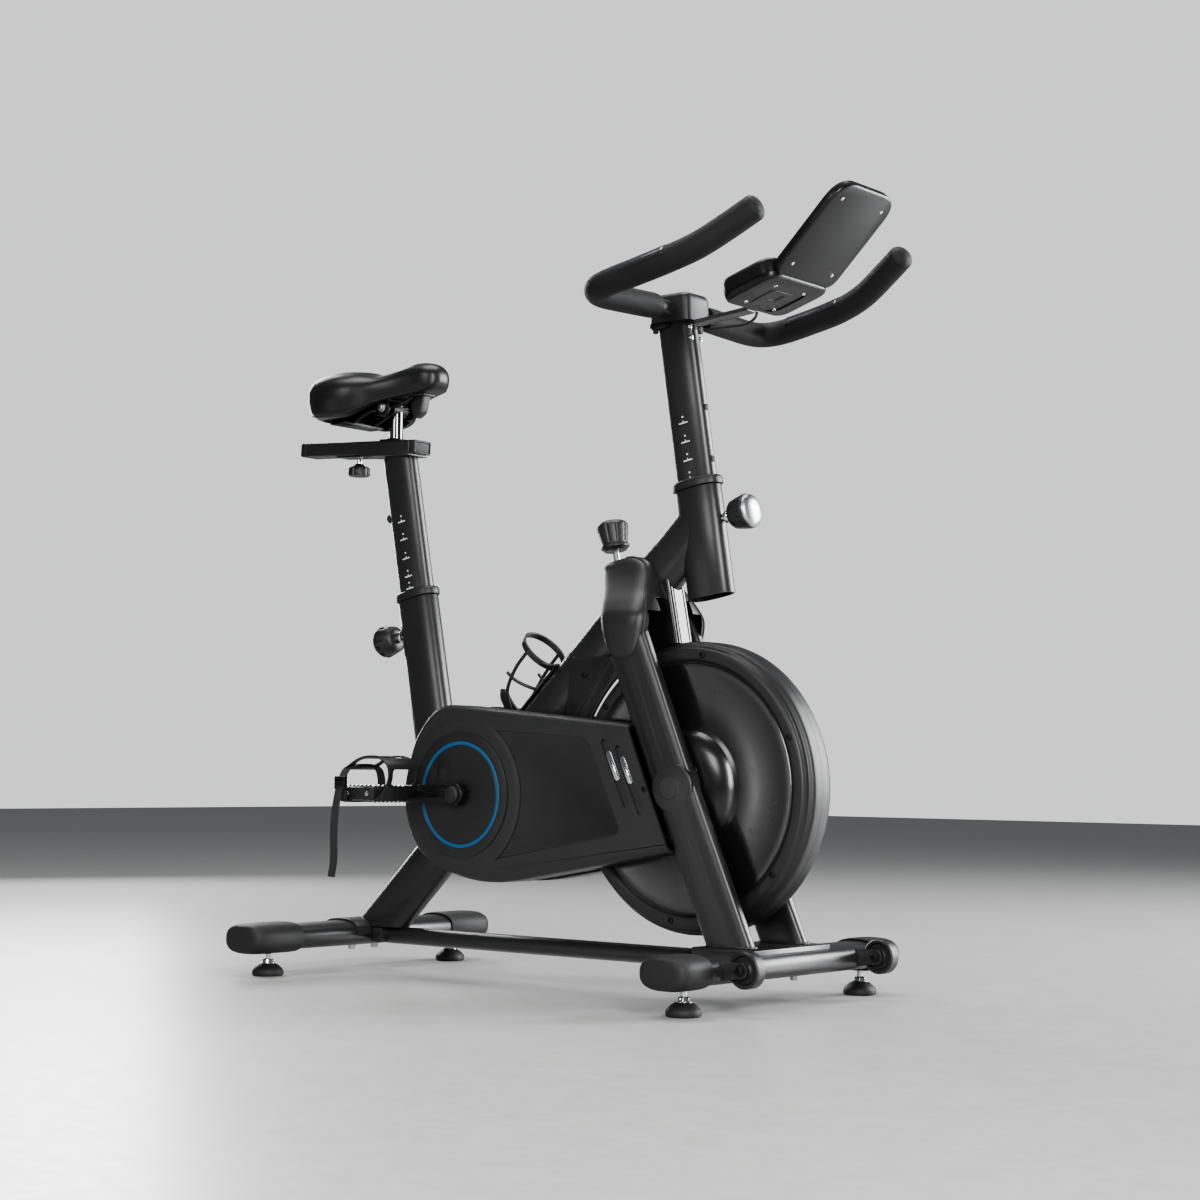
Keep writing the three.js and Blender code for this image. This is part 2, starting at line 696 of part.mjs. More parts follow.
function drive() {
  const { x, z, armOut, axle } = CRANK;
  const { y, half, big, small, thick } = BELT;
  const bore = disc(axle + GAP, x, z, -200, 200, 16);
  piece("crank_axle", disc(axle, x, z, -armOut - 1, armOut + 1, 16), steel);
  const cartridge = disc(SHELL.bore - GAP, x, z, -SHELL.half, SHELL.half, 20);
  piece("bottom_bracket_cartridge", cut(cartridge, bore), steel);

  let pulley = join(
    disc(big - 1.6, x, z, -y - half, -y + half, 24),
    disc(26, x, z, -y - 6, -y + 7, 16),
  );
  for (let i = 0; i < 4; i++) {
    const angle = (Math.PI * i) / 2;
    pulley = cut(pulley, disc(19, x + 58 * Math.cos(angle), z + 58 * Math.sin(angle), -60, -30, 8));
  }
  piece("crank_pulley", cut(pulley, bore), steel);
  const belt = cut(
    plate(beltLoop(big + thick, small + thick), -y - half, -y + half),
    plate(beltLoop(big, small), -y - half - 1, -y + half + 1),
  );
  piece("drive_belt", belt, rubber);

  // The right arm points back and the left arm points forward.
  const arm = crankArm();
  const halfTurn = (shape) => shape.translate([-x, 0, -z]).rotate([0, 180, 0]).translate([x, 0, z]);
  piece("crank_arm_right", mirrorY(arm), steel);
  piece("crank_arm_left", halfTurn(arm), steel);
  piece("pedal_right", mirrorY(pedal(x - CRANK.length)), plastic);
  piece("pedal_left", pedal(x + CRANK.length), plastic);
  piece("toe_cage_right", mirrorY(toeCage(x - CRANK.length)), plastic);
  piece("toe_cage_left", toeCage(x + CRANK.length), plastic);

  const axleEnd = LEG.y + LEG.thin / 2 - 5;
  piece("flywheel_axle", disc(AXLE.radius, AXLE.x, AXLE.z, -axleEnd, axleEnd, 20), steel);
  piece("flywheel", flywheel(), steel);
}

// The flywheel with the hub and the small pulley that are bolted to it.
function flywheel() {
  const { radius, rim, rimHalf, web } = FLYWHEEL;
  const bore = AXLE.radius + 0.5;
  const pulleyOut = -BELT.y - BELT.half + 0.2;
  const pulleyIn = -BELT.y + BELT.half - 0.2;
  const profile = [
    [bore, pulleyOut],
    [BELT.small - 1.6, pulleyOut],
    [BELT.small - 1.6, pulleyIn],
    [20, pulleyIn],
    [20, -web],
    [radius - rim, -web],
    [radius - rim, -rimHalf],
    [radius, -rimHalf],
    [radius, rimHalf],
    [radius - rim, rimHalf],
    [radius - rim, web],
    [20, web],
    [20, 44],
    [bore, 44],
    [bore, pulleyOut],
  ];
  return turned(profile, [AXLE.x, 0, AXLE.z], [0, 1, 0], 28);
}

// ---- brake ----

const ROD_TOP = [206, 714]; // top of the resistance knob
const ROD_DOWN = [0.19, -0.982];
const KNOB_TALL = 46;
const ROD_END = 256;

function onRod(distance) {
  const [x, z] = onAxis(ROD_TOP, ROD_DOWN, distance);
  return [x, 0, z];
}

const rodHole = (radius) => cylinder(radius, onRod(30), onRod(ROD_END), 10);

function brake() {
  const knob = [
    [0, 0],
    [19, 0],
    [24, -3],
    [25, -8],
    [20, -36],
    [19, -KNOB_TALL],
    [5 + GAP, -KNOB_TALL],
    [5 + GAP, -12],
    [0, -12],
  ];
  const up = ROD_DOWN.map((value) => -value);
  const top = [ROD_TOP[0], 0, ROD_TOP[1]];
  piece("resistance_knob", turned(knob.reverse(), top, [up[0], 0, up[1]], 14), plastic);
  const rodStart = onAxis(ROD_TOP, ROD_DOWN, 12 + GAP);
  const rodEnd = onAxis(ROD_TOP, ROD_DOWN, ROD_END - 2);
  piece("brake_rod", cylinder(5, [rodStart[0], 0, rodStart[1]], [rodEnd[0], 0, rodEnd[1]], 12), steel);

  // The shoe is a curved block that hangs just clear of the flywheel's rim.
  const reach = Math.atan2(rodEnd[1] - AXLE.z, rodEnd[0] - AXLE.x);
  const outline = new THREE.Shape();
  outline.absarc(AXLE.x, AXLE.z, FLYWHEEL.radius + 3.5, reach - 0.15, reach + 0.15);
  outline.absarc(AXLE.x, AXLE.z, FLYWHEEL.radius + 25, reach + 0.15, reach - 0.15, true);
  const block = plate(new THREE.Shape(outline.getPoints(6)), -11, 11);
  const socket = cylinder(5 + GAP, [rodStart[0], 0, rodStart[1]], onRod(ROD_END), 12);
  piece("brake_shoe", cut(block, socket), rubber);
}

// ---- seat ----

const RAIL = { wide: 40, tall: 23, rear: -478, front: -202 };
const CHANNEL = { rear: -328, front: -213, wall: 3 };
const RAIL_LOW = [-266, 868.5]; // a point on the rail's centre line, over the seat post
const RAIL_ALONG = [0.9983, -0.0575]; // the rail rises a little towards the rear
const STEM = { x: -266, radius: 11.5, pivotZ: 934, headRadius: 13, headHalf: 17 };
const SEAT_POST_LENGTH = 452;
const KNOB_X = -352; // where the rail's clamp knob stands
const SHELL_TOP = 957; // top of the moulded shell under the cushion
const PIN_DEPTH = 54; // how far below the rim the pull knobs' axes are

// A straight bar along the rail, from one x to another, between heights measured from its centre line.
function alongRail(x0, x1, low, high, halfWidth) {
  const at = (x, up) => {
    const distance = (x - RAIL_LOW[0]) / RAIL_ALONG[0];
    const [px, pz] = onAxis(RAIL_LOW, RAIL_ALONG, distance);
    return [px - RAIL_ALONG[1] * up, pz + RAIL_ALONG[0] * up];
  };
  return plate([at(x0, low), at(x1, low), at(x1, high), at(x0, high)], -halfWidth, halfWidth);
}

function seatPost() {
  const top = onAxis(SEAT_TOP, SEAT_UP, 250);
  const foot = onAxis(top, SEAT_UP, -SEAT_POST_LENGTH);
  const { wide, tall } = RAIL;
  const { rear, front, wall } = CHANNEL;
  const side = wide / 2 + GAP;
  const under = -tall / 2 - GAP;
  const trough = cut(
    alongRail(rear, front, under - wall, tall / 2 - 2, side + wall),
    alongRail(rear - 2, front + 2, under, tall, side),
  );
  const shelf = alongRail(-392, rear + 10, under - wall, under, side - 4);
  const boltHole = cylinder(6, [KNOB_X, 0, 800], [KNOB_X, 0, 900], 12);
  const column = cut(tube(POST, foot, top), alongRail(-400, -100, under - wall + 0.5, 200, 60));
  return cut(join(column, trough, shelf), boltHole);
}


// The clamp knob under the shelf, whose stud reaches up to the rail.
function railKnob() {
  const rise = ((KNOB_X - RAIL_LOW[0]) * RAIL_ALONG[1]) / RAIL_ALONG[0];
  const railUnder = RAIL_LOW[1] + rise - RAIL.tall / 2;
  const profile = [
    [0, 0],
    [17, 0],
    [19, 3],
    [18, 15],
    [9, 19],
    [5, 22],
    [5, 34],
    [0, 34],
  ];
  return turned(profile, [KNOB_X, 0, railUnder - 34.8], [0, 0, 1], 14);
}

function saddleCushion() {
  const sections = [
    [-160, 11, 984, 970],
    [-164, 20, 996, 961],
    [-176, 27, 1003, 955],
    [-204, 35, 1007, 948],
    [-236, 47, 999, 941],
    [-268, 64, 995, 930],
    [-302, 88, 999, 916],
    [-338, 99, 1003, 909],
    [-372, 97, 1002, 911],
    [-396, 80, 994, 921],
    [-407, 50, 982, 936],
  ];
  // The top is domed, and the sides come down to a squarer skirt.
  const ring = ([x, half, top, bottom]) => {
    const points = [];
    for (let i = 0; i < 16; i++) {
      const angle = (2 * Math.PI * i) / 16;
      const power = Math.sin(angle) < -0.1 ? 0.5 : 0.9;
      const reach = (value) => Math.sign(value) * Math.abs(value) ** power;
      const up = reach(Math.sin(angle));
      points.push([x, half * reach(Math.cos(angle)), (top + bottom) / 2 + ((top - bottom) / 2) * up]);
    }
    return points;
  };
  const pocketFloor = new THREE.Matrix4().setPosition(0, 0, SHELL_TOP + GAP - 60);
  const underside = extrude(shellOutline(1), 60, pocketFloor);
  return cut(loft(sections.map(ring).reverse()), underside);
}

// The outline of the moulded shell under the cushion, seen from above.
function shellOutline(grow) {
  const right = [
    [-188 + grow, 14 + grow],
    [-230, 28 + grow],
    [-290, 58 + grow],
    [-340, 78 + grow],
    [-384 - grow, 66 + grow],
  ];
  const left = right.map(([x, y]) => [x, -y]).reverse();
  return new THREE.Shape([...right, ...left].map(([x, y]) => new THREE.Vector2(x, y)));
}

// The shell, two rubber springs at the back and the two rails that the stem's clamp holds.
function saddleBase() {
  const shell = extrude(shellOutline(0), SHELL_TOP - 950, new THREE.Matrix4().setPosition(0, 0, 950));
  const springs = [-1, 1].map((side) => {
    return cylinder(15, [-360, side * 36, 916], [-360, side * 36, 951], 10);
  });
  const bridge = box([-376, -48, 912], [-344, 48, 920]);
  const rails = [-1, 1].map((side) => {
    const rail = [
      [-352, side * 24, 916],
      [-302, side * 24, STEM.pivotZ],
      [-230, side * 24, STEM.pivotZ],
      [-190, side * 10, 952],
    ];
    return join(...rail.slice(1).map((to, i) => cylinder(3.5, rail[i], to, 8)));
  });
  return join(shell, bridge, ...springs, ...rails);
}

function seat() {
  const pull = [-SEAT_UP[1], 0, SEAT_UP[0]];
  piece("seat_post", seatPost(), paint);
  const rail = cut(
    alongRail(RAIL.rear, RAIL.front, -RAIL.tall / 2, RAIL.tall / 2, RAIL.wide / 2),
    alongRail(RAIL.rear + 4, RAIL.front + 1, 3 - RAIL.tall / 2, RAIL.tall / 2 - 3, RAIL.wide / 2 - 3),
  );
  piece("seat_rail", rail, plastic);
  const stemBase = RAIL_LOW[1] + RAIL.tall / 2 + 1.2;
  const stem = join(
    cylinder(STEM.radius, [STEM.x, 0, stemBase], [STEM.x, 0, STEM.pivotZ], 18),
    disc(STEM.headRadius, STEM.x, STEM.pivotZ, -STEM.headHalf, STEM.headHalf, 18),
  );
  piece("saddle_stem", stem, chrome);
  piece("saddle_base", saddleBase(), plastic);
  piece("saddle_cushion", saddleCushion(), vinyl);
  piece("seat_rail_knob", railKnob(), plastic);
  piece("seat_post_knob", pullKnob(SEAT_TOP, SEAT_UP, pull), plastic);
}

// A spring-loaded pull knob on a tube; its pin stops just short of the post.
function pullKnob(top, up, outwards) {
  const axis = onAxis(top, up, -PIN_DEPTH);
  const start = POST.wide / 2 + GAP;
  const profile = [
    [0, start],
    [5, start],
    [5, 44],
    [9, 44],
    [9, 56],
    [19, 58],
    [22, 62],
    [26.5, 86],
    [25, 92],
    [17, 97],
    [0, 99],
  ];
  return turned(profile, [axis[0], 0, axis[1]], outwards, 14);
}

// The hole for a pull knob's pin through a tube's wall and its bush.
function pinHole(top, up, sign) {
  const axis = onAxis(top, up, -PIN_DEPTH);
  const end = onAxis(axis, [up[1] * sign, -up[0] * sign], 70);
  return cylinder(5.6, [axis[0], 0, axis[1]], [end[0], 0, end[1]], 10);
}

const headPinHole = () => pinHole(HEAD_TOP, HEAD_UP, 1);
const seatPinHole = () => pinHole(SEAT_TOP, SEAT_UP, -1);

// ---- handlebar and console ----

const BAR_POST_LENGTH = 362;
const BAR_TOP = onAxis(HEAD_TOP, HEAD_UP, 262);
const BAR_PATH = [
  [338, 0, 1026],
  [337, 60, 1026],
  [335, 120, 1024],
  [336, 180, 1022],
  [346, 208, 1023],
  [372, 221, 1027],
  [420, 221, 1035],
  [480, 219, 1047],
  [530, 210, 1063],
  [575, 198, 1087],
  [609, 189, 1107],
];
const BAR_TIP = [0.84, -0.24, 0.48]; // the way the left end of the bar points
const TABLET = { wide: 145, long: 168, thick: 9, foot: [556, 1046], along: [0.722, 0.692] };
const CONSOLE = { middle: [510.8, 1042.8], along: [0.956, 0.292], long: 100, wide: 150, thick: 35 };

function handlebar() {
  const bottom = onAxis(BAR_TOP, HEAD_UP, -BAR_POST_LENGTH);
  const crossing = cylinder(BAR.radius + 0.6, [338, -60, 1026], [338, 60, 1026], 16);
  const arm = plate(
    [
      [362, 1001],
      [470, 1011],
      [470, 1017],
      [362, 1007],
    ],
    -18,
    18,
  );
  const post = cut(join(tube(POST, bottom, BAR_TOP), arm), crossing, clampBody(GAP));
  piece("handlebar_post", largest(post), paint);
  const half = BAR_PATH.slice(1).map(([x, y, z]) => [x, -y, z]);
  piece("handlebar_tube", sweep([...half.reverse(), ...BAR_PATH], BAR.radius, 8, 32), paint);
  const grip = foamGrip();
  piece("grip_left", grip, foam);
  piece("grip_right", mirrorY(grip), foam);
  const cover = cut(clampBody(0), cylinder(BAR.radius + 0.6, [338, -90, 1026], [338, 90, 1026], 16));
  piece("bar_clamp_cover", cover, plastic);
  piece("bar_post_knob", pullKnob(HEAD_TOP, HEAD_UP, [HEAD_UP[1], 0, -HEAD_UP[0]]), plastic);
}

// The cover over the middle of the bar, grown by a clearance where it is used as a cutter.
function clampBody(grow) {
  const outline = rounded([
    [298 - grow, 994 - grow, 14],
    [374 + grow, 994 - grow, 14],
    [372 + grow, 1052 + grow, 14],
    [300 - grow, 1052 + grow, 14],
  ]);
  const below = box([250, -40, 990], [420, 40, 1008 - grow]);
  return pillow(outline, -30 - grow, 30 + grow, 9).subtract(below);
}

// The foam sleeve over one side of the bar, closed at the tip.
function foamGrip() {
  const path = BAR_PATH.slice(1);
  const tip = path[path.length - 1];
  const past = (distance) => [
    tip[0] + BAR_TIP[0] * distance,
    tip[1] + BAR_TIP[1] * distance,
    tip[2] + BAR_TIP[2] * distance,
  ];
  const bore = sweep(BAR_PATH, BAR.radius + 2, 8, 16);
  const endGap = cylinder(BAR.radius + 2, past(-2), past(1), 10);
  return cut(sweep([...path, past(8)], BAR.foam, 10, 14), bore, endGap);
}

// A rounded slab in a plane that leans back: `along` is its direction in side view.
function slab({ wide, long, thick }, start, along, radius) {
  const w = wide / 2 - radius;
  const shape = new THREE.Shape();
  shape.absarc(radius, w, radius, Math.PI / 2, Math.PI);
  shape.absarc(radius, -w, radius, Math.PI, 1.5 * Math.PI);
  shape.absarc(long - radius, -w, radius, 1.5 * Math.PI, 2 * Math.PI);
  shape.absarc(long - radius, w, radius, 0, Math.PI / 2);
  const x = new THREE.Vector3(along[0], 0, along[1]);
  const y = new THREE.Vector3(0, 1, 0);
  const z = new THREE.Vector3().crossVectors(x, y);
  const matrix = new THREE.Matrix4().makeBasis(x, y, z).setPosition(start[0], 0, start[1]);
  return extrude(new THREE.Shape(shape.getPoints(4)), thick, matrix);
}

function consoleUnit() {
  const { middle, along, long, thick } = CONSOLE;
  const start = [
    middle[0] - (along[0] * long) / 2 + (along[1] * thick) / 2,
    middle[1] - (along[1] * long) / 2 - (along[0] * thick) / 2,
  ];
  const armSlot = box([440, -19, 1000], [471, 19, 1018]);
  const buttonAt = (up, distance) => [
    start[0] + along[0] * distance - along[1] * up,
    0,
    start[1] + along[1] * distance + along[0] * up,
  ];
  const well = cylinder(7.4, buttonAt(thick - 6, 16), buttonAt(thick + 5, 16), 14);
  const body = cut(slab(CONSOLE, start, along, 22), armSlot, well);
  piece("console", body, gloss);
  const button = cylinder(7, buttonAt(thick - 6 + 2.5, 16), buttonAt(thick + 1.5, 16), 14);
  piece("console_button", button, rubber);

  const foot = [TABLET.foot[0] + 4, TABLET.foot[1] - 4];
  const holder = cut(slab(TABLET, foot, TABLET.along, 22), slabEnvelope(start));
  piece("tablet_holder", holder, plastic);
  const lead = [
    [489, -12, 1006],
    [486, -14, 997],
    [470, -14, 990],
    [440, -13, 990],
    [412, -11, 991],
    [389, -9, 992],
  ];
  piece("console_lead", sweep(lead, 2.2, 6, 12), rubber);
}

function slabEnvelope(start) {
  const { wide, long, thick, along } = CONSOLE;
  const grown = { wide: wide + 2, long: long + 2, thick: thick + 2 };
  return slab(grown, [start[0] - along[0] + along[1], start[1] - along[1] - along[0]], along, 22);
}

// ---- bottle cage ----

// A cage on the top of the main tube: a strap plate, a foot under the bottle and a ring around it.
function bottleCage() {
  const length = Math.hypot(MAIN_HIGH[0] - MAIN_LOW[0], MAIN_HIGH[1] - MAIN_LOW[1]);
  const t = [(MAIN_HIGH[0] - MAIN_LOW[0]) / length, (MAIN_HIGH[1] - MAIN_LOW[1]) / length];
  const n = [-t[1], t[0]];
  const foot = onAxis(MAIN_LOW, t, 458);
  const at = (s, up, y = 0) => [foot[0] + t[0] * s + n[0] * up, y, foot[1] + t[1] * s + n[1] * up];
  const flat = ([x, , z]) => [x, z];
  const surface = TUBE.wide / 2 + GAP;
  const axisUp = surface + 42;
  const ring = [
    [36, -5],
    [39.5, -5],
    [39.5, 5],
    [36, 5],
    [36, -5],
  ];
  // A slab on the tube, from the foot to `long` along it and `tall` above its surface.
  const slabOn = (long, tall, half) => {
    const corners = [at(0, surface), at(long, surface), at(long, surface + tall), at(0, surface + tall)];
    return plate(corners.map(flat), -half, half);
  };
  const strap = slabOn(124, 4, 11);
  const lip = slabOn(5, 56, 14);
  const hoop = turned(ring, at(112, axisUp), [t[0], 0, t[1]], 16);
  const arms = [-1, 1].map((side) => {
    const path = [
      at(3, surface + 6, side * 6),
      at(30, axisUp - 14, side * 30),
      at(72, axisUp - 2, side * 37.6),
      at(112, axisUp, side * 37.8),
    ];
    return sweep(path, 2.6, 6, 7);
  });
  return cut(join(strap, lip, hoop, ...arms), envelope(TUBE, MAIN_LOW, MAIN_HIGH));
}

base();
frame();
covers();
drive();
brake();
seat();
handlebar();
consoleUnit();
piece("bottle_cage", bottleCage(), plastic);

export default bike;
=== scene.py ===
"""Looks of the exercise bike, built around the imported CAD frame.

Sizes are in millimetres in the bike's drawing frame: +X forward, +Y to the rider's left, +Z up, the floor
at z = 0. to_row() turns a drawing point into the row frame that the CAD model uses, in metres.
"""

import json
import math

import bmesh
import bpy
from mathutils import Matrix, Vector


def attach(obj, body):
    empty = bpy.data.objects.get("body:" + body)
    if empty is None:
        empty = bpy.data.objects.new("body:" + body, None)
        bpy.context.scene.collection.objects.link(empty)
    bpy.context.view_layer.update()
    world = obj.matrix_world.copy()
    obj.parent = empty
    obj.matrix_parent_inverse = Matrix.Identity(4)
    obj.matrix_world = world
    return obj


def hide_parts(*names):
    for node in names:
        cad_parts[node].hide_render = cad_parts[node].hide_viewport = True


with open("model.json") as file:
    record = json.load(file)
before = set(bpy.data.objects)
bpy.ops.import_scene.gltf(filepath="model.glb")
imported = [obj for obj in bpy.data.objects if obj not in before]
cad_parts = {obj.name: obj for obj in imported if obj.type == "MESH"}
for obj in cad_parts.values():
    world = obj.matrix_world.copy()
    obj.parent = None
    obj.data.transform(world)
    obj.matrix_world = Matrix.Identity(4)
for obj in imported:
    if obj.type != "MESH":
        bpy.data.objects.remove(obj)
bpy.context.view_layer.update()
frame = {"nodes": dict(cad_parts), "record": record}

# ---- driving dimensions, the same as the CAD part's ----
ORIGIN_X = 101.3
TUBE = (78, 42)
POST = (68, 33)
COLLAR = (84, 48)
STABILIZER = {"deep": 80, "tall": 41, "half": 240, "z": 60, "rear_x": -322, "front_x": 520}
FOOT = {"rear_y": 211, "front_y": 217.5}
WHEEL = {"x": 589.5, "y": 167.5, "z": 63.6, "radius": 25.5, "width": 20}
MAIN_LOW, MAIN_HIGH = (-285, 64.5), (352, 674)
MAIN_ALONG = Vector((MAIN_HIGH[0] - MAIN_LOW[0], MAIN_HIGH[1] - MAIN_LOW[1])).normalized()
SEAT_TOP, SEAT_UP = (-207.4, 612), (-0.193, 0.981)
BACKWARDS = (-SEAT_UP[1], SEAT_UP[0])
HEAD_TOP, HEAD_UP = (373, 754), (-0.163, 0.987)
FORWARDS = (HEAD_UP[1], -HEAD_UP[0])
HEAD_LENGTH = 166
PIN_DROP = 54
AXLE_BORE = 8.85
CRANK = {"x": -24, "z": 292, "length": 127}
AXLE = {"x": 383, "z": 308}
GUARD_RADIUS, GUARD_HALF, HUB_FACE = 216, 36, 50.4
COVER_FACE = {"right": 84, "left": 72}
LEG = {"wide": 74, "thin": 26, "y": 65.5, "top": (268, 588), "foot": (487, 83.4)}
LEG_SHOULDER = (280, 560)
LEG_DOWN = (0.42, -0.9)
KNEE = (AXLE["x"] + 4, AXLE["z"])
ROD_TOP, ROD_DOWN = (206, 714), (0.19, -0.982)
VENT_LEAN = (0.43, -0.9)


def in_plane(point, y=0):
    """A side-view point (x, z) as a drawing point."""
    return (point[0], y, point[1])


def to_row(point):
    """A drawing point in millimetres as a row-frame point in metres."""
    x, y, z = point
    return Vector(((x - ORIGIN_X) / 1000, y / 1000, z / 1000))


def mirrored_span(side, low, high):
    """A span of y on one side of the bike: 1 is left, -1 is right."""
    return sorted((side * low, side * high))


def along(start, direction, distance):
    return (start[0] + direction[0] * distance, start[1] + direction[1] * distance)


# ---- materials ----


class Nodes:
    """A short way to add and link shader nodes."""

    def __init__(self, material):
        material.use_nodes = True
        self.tree = material.node_tree
        self.shader = self.tree.nodes["Principled BSDF"]

    def add(self, kind, settings=(), inputs=()):
        node = self.tree.nodes.new(kind)
        for name, value in dict(settings).items():
            setattr(node, name, value)
        for name, value in dict(inputs).items():
            if isinstance(value, bpy.types.NodeSocket):
                self.tree.links.new(value, node.inputs[name])
            else:
                node.inputs[name].default_value = value
        return node

    def shade(self, name, value):
        if isinstance(value, bpy.types.NodeSocket):
            self.tree.links.new(value, self.shader.inputs[name])
        else:
            self.shader.inputs[name].default_value = value


def surface(name, color, rough, metal=0.0, grain="noise", size=0.6, depth=0.1, spread=0.06, mottle=0.12,
            **extra):
    """A material whose colour, roughness and relief vary a little; size is the grain in millimetres."""
    material = bpy.data.materials.new(name)
    nodes = Nodes(material)
    place = nodes.add("ShaderNodeTexCoord").outputs["Object"]
    scale = 1000 / size
    if grain == "cells":
        relief = nodes.add("ShaderNodeTexVoronoi", inputs={"Vector": place, "Scale": scale})
        height = relief.outputs["Distance"]
    elif grain == "weave":
        relief = nodes.add(
            "ShaderNodeTexWave", {"bands_direction": "DIAGONAL"}, {"Vector": place, "Scale": scale / 4}
        )
        height = relief.outputs["Fac"]
    else:
        relief = nodes.add("ShaderNodeTexNoise", inputs={"Vector": place, "Scale": scale, "Detail": 4})
        height = relief.outputs["Fac"]
    bump = nodes.add("ShaderNodeBump", inputs={"Height": height, "Strength": depth, "Distance": 0.001})
    nodes.shade("Normal", bump.outputs["Normal"])
    cloud = nodes.add("ShaderNodeTexNoise", inputs={"Vector": place, "Scale": 14, "Detail": 5,
                                                    "Roughness": 0.6})
    tone = nodes.add("ShaderNodeValToRGB", inputs={"Fac": cloud.outputs["Fac"]})
    for stop, factor in zip(tone.color_ramp.elements, (1 - mottle, 1 + mottle)):
        stop.color = [*(min(1, channel * factor) for channel in color), 1]
    tone.color_ramp.elements[0].position = 0.3
    tone.color_ramp.elements[1].position = 0.7
    nodes.shade("Base Color", tone.outputs["Color"])
    streak = nodes.add("ShaderNodeTexNoise", inputs={"Vector": place, "Scale": 45, "Detail": 6})
    gloss = nodes.add(
        "ShaderNodeMapRange",
        inputs={"Value": streak.outputs["Fac"], "To Min": rough - spread, "To Max": rough + spread},
    )
    nodes.shade("Roughness", gloss.outputs["Result"])
    nodes.shade("Metallic", metal)
    for socket, value in extra.items():
        nodes.shade(socket.replace("_", " "), value)
    return material


MATERIALS = {
    "frame_paint": surface("powder_coat", (0.010, 0.010, 0.0105), 0.38, size=0.9, depth=0.12,
                           Coat_Weight=0.25, Coat_Roughness=0.3),
    "shell_plastic": surface("satin_plastic", (0.011, 0.011, 0.0115), 0.42, size=0.5, depth=0.16),
    "guard_plastic": surface("guard_plastic", (0.016, 0.016, 0.0165), 0.44, size=0.45, depth=0.14),
    "gloss_plastic": surface("gloss_plastic", (0.006, 0.006, 0.0065), 0.26, size=0.8, depth=0.02,
                             spread=0.04, Coat_Weight=0.25, Coat_Roughness=0.16),
    "rubber": surface("rubber", (0.009, 0.009, 0.009), 0.6, size=0.8, depth=0.3, mottle=0.2),
    "foam": surface("foam", (0.006, 0.006, 0.0065), 0.6, grain="cells", size=1.1, depth=0.35, mottle=0.2,
                    Specular_IOR_Level=0.3),
    "holder_plastic": surface("holder_plastic", (0.006, 0.006, 0.0065), 0.32, size=0.5, depth=0.05,
                              Specular_IOR_Level=0.32),
    "chrome": surface("chrome", (0.62, 0.63, 0.64), 0.1, 1.0, size=3, depth=0.01, spread=0.05,
                      mottle=0.04),
    "dark_chrome": surface("dark_chrome", (0.2, 0.2, 0.205), 0.12, 1.0, size=3, depth=0.01, spread=0.05,
                           mottle=0.05),
    "steel": surface("plain_steel", (0.4, 0.41, 0.42), 0.34, 1.0, size=0.3, depth=0.06, spread=0.1),
    "black_steel": surface("black_steel", (0.014, 0.014, 0.0145), 0.34, 0.6, size=0.7, depth=0.1),
    "cast_iron": surface("cast_iron", (0.2, 0.2, 0.21), 0.5, 1.0, size=1.6, depth=0.3, spread=0.12),
    "vinyl": surface("saddle_vinyl", (0.006, 0.006, 0.0065), 0.34, grain="cells", size=1.5, depth=0.14,
                     spread=0.07, Specular_IOR_Level=0.4),
    "accent": surface("blue_ring", (0.008, 0.08, 0.19), 0.42, size=0.5, depth=0.08, mottle=0.08),
    "print": surface("white_print", (0.62, 0.63, 0.64), 0.55, size=0.4, depth=0.05),
    "webbing": surface("webbing", (0.02, 0.02, 0.02), 0.78, grain="weave", size=1.2, depth=0.6,
                       mottle=0.25),
    "screen": surface("screen_glass", (0.01, 0.012, 0.014), 0.08, size=4, depth=0.01, spread=0.03,
                      mottle=0.05),
    "sensor": surface("pulse_plate", (0.12, 0.12, 0.125), 0.22, 0.9, size=0.4, depth=0.04, spread=0.06),
}


# ---- camera, lights and floor ----


def camera():
    right = Vector((0.76974, 0.63827, 0.01060))
    up = Vector((0.04020, -0.06503, 0.99707))
    ahead = Vector((-0.63709, 0.76706, 0.07571))
    data = bpy.data.cameras.new("camera")
    data.lens = 67.42
    data.sensor_width = 36
    data.clip_end = 60
    shot = bpy.data.objects.new("camera", data)
    bpy.context.scene.collection.objects.link(shot)
    turn = Matrix((right, up, -ahead)).transposed().to_4x4()
    shot.matrix_world = Matrix.Translation(to_row((2397.66, -2664.86, 331.68))) @ turn
    bpy.context.scene.camera = shot


def area_light(name, place, target, size, power, tint=(1, 1, 1)):
    data = bpy.data.lights.new(name, "AREA")
    data.shape = "RECTANGLE"
    data.size, data.size_y = size
    data.energy = power
    data.color = tint
    lamp = bpy.data.objects.new(name, data)
    bpy.context.scene.collection.objects.link(lamp)
    lamp.location = place
    lamp.rotation_mode = "QUATERNION"
    lamp.rotation_quaternion = (Vector(target) - Vector(place)).to_track_quat("-Z", "Y")


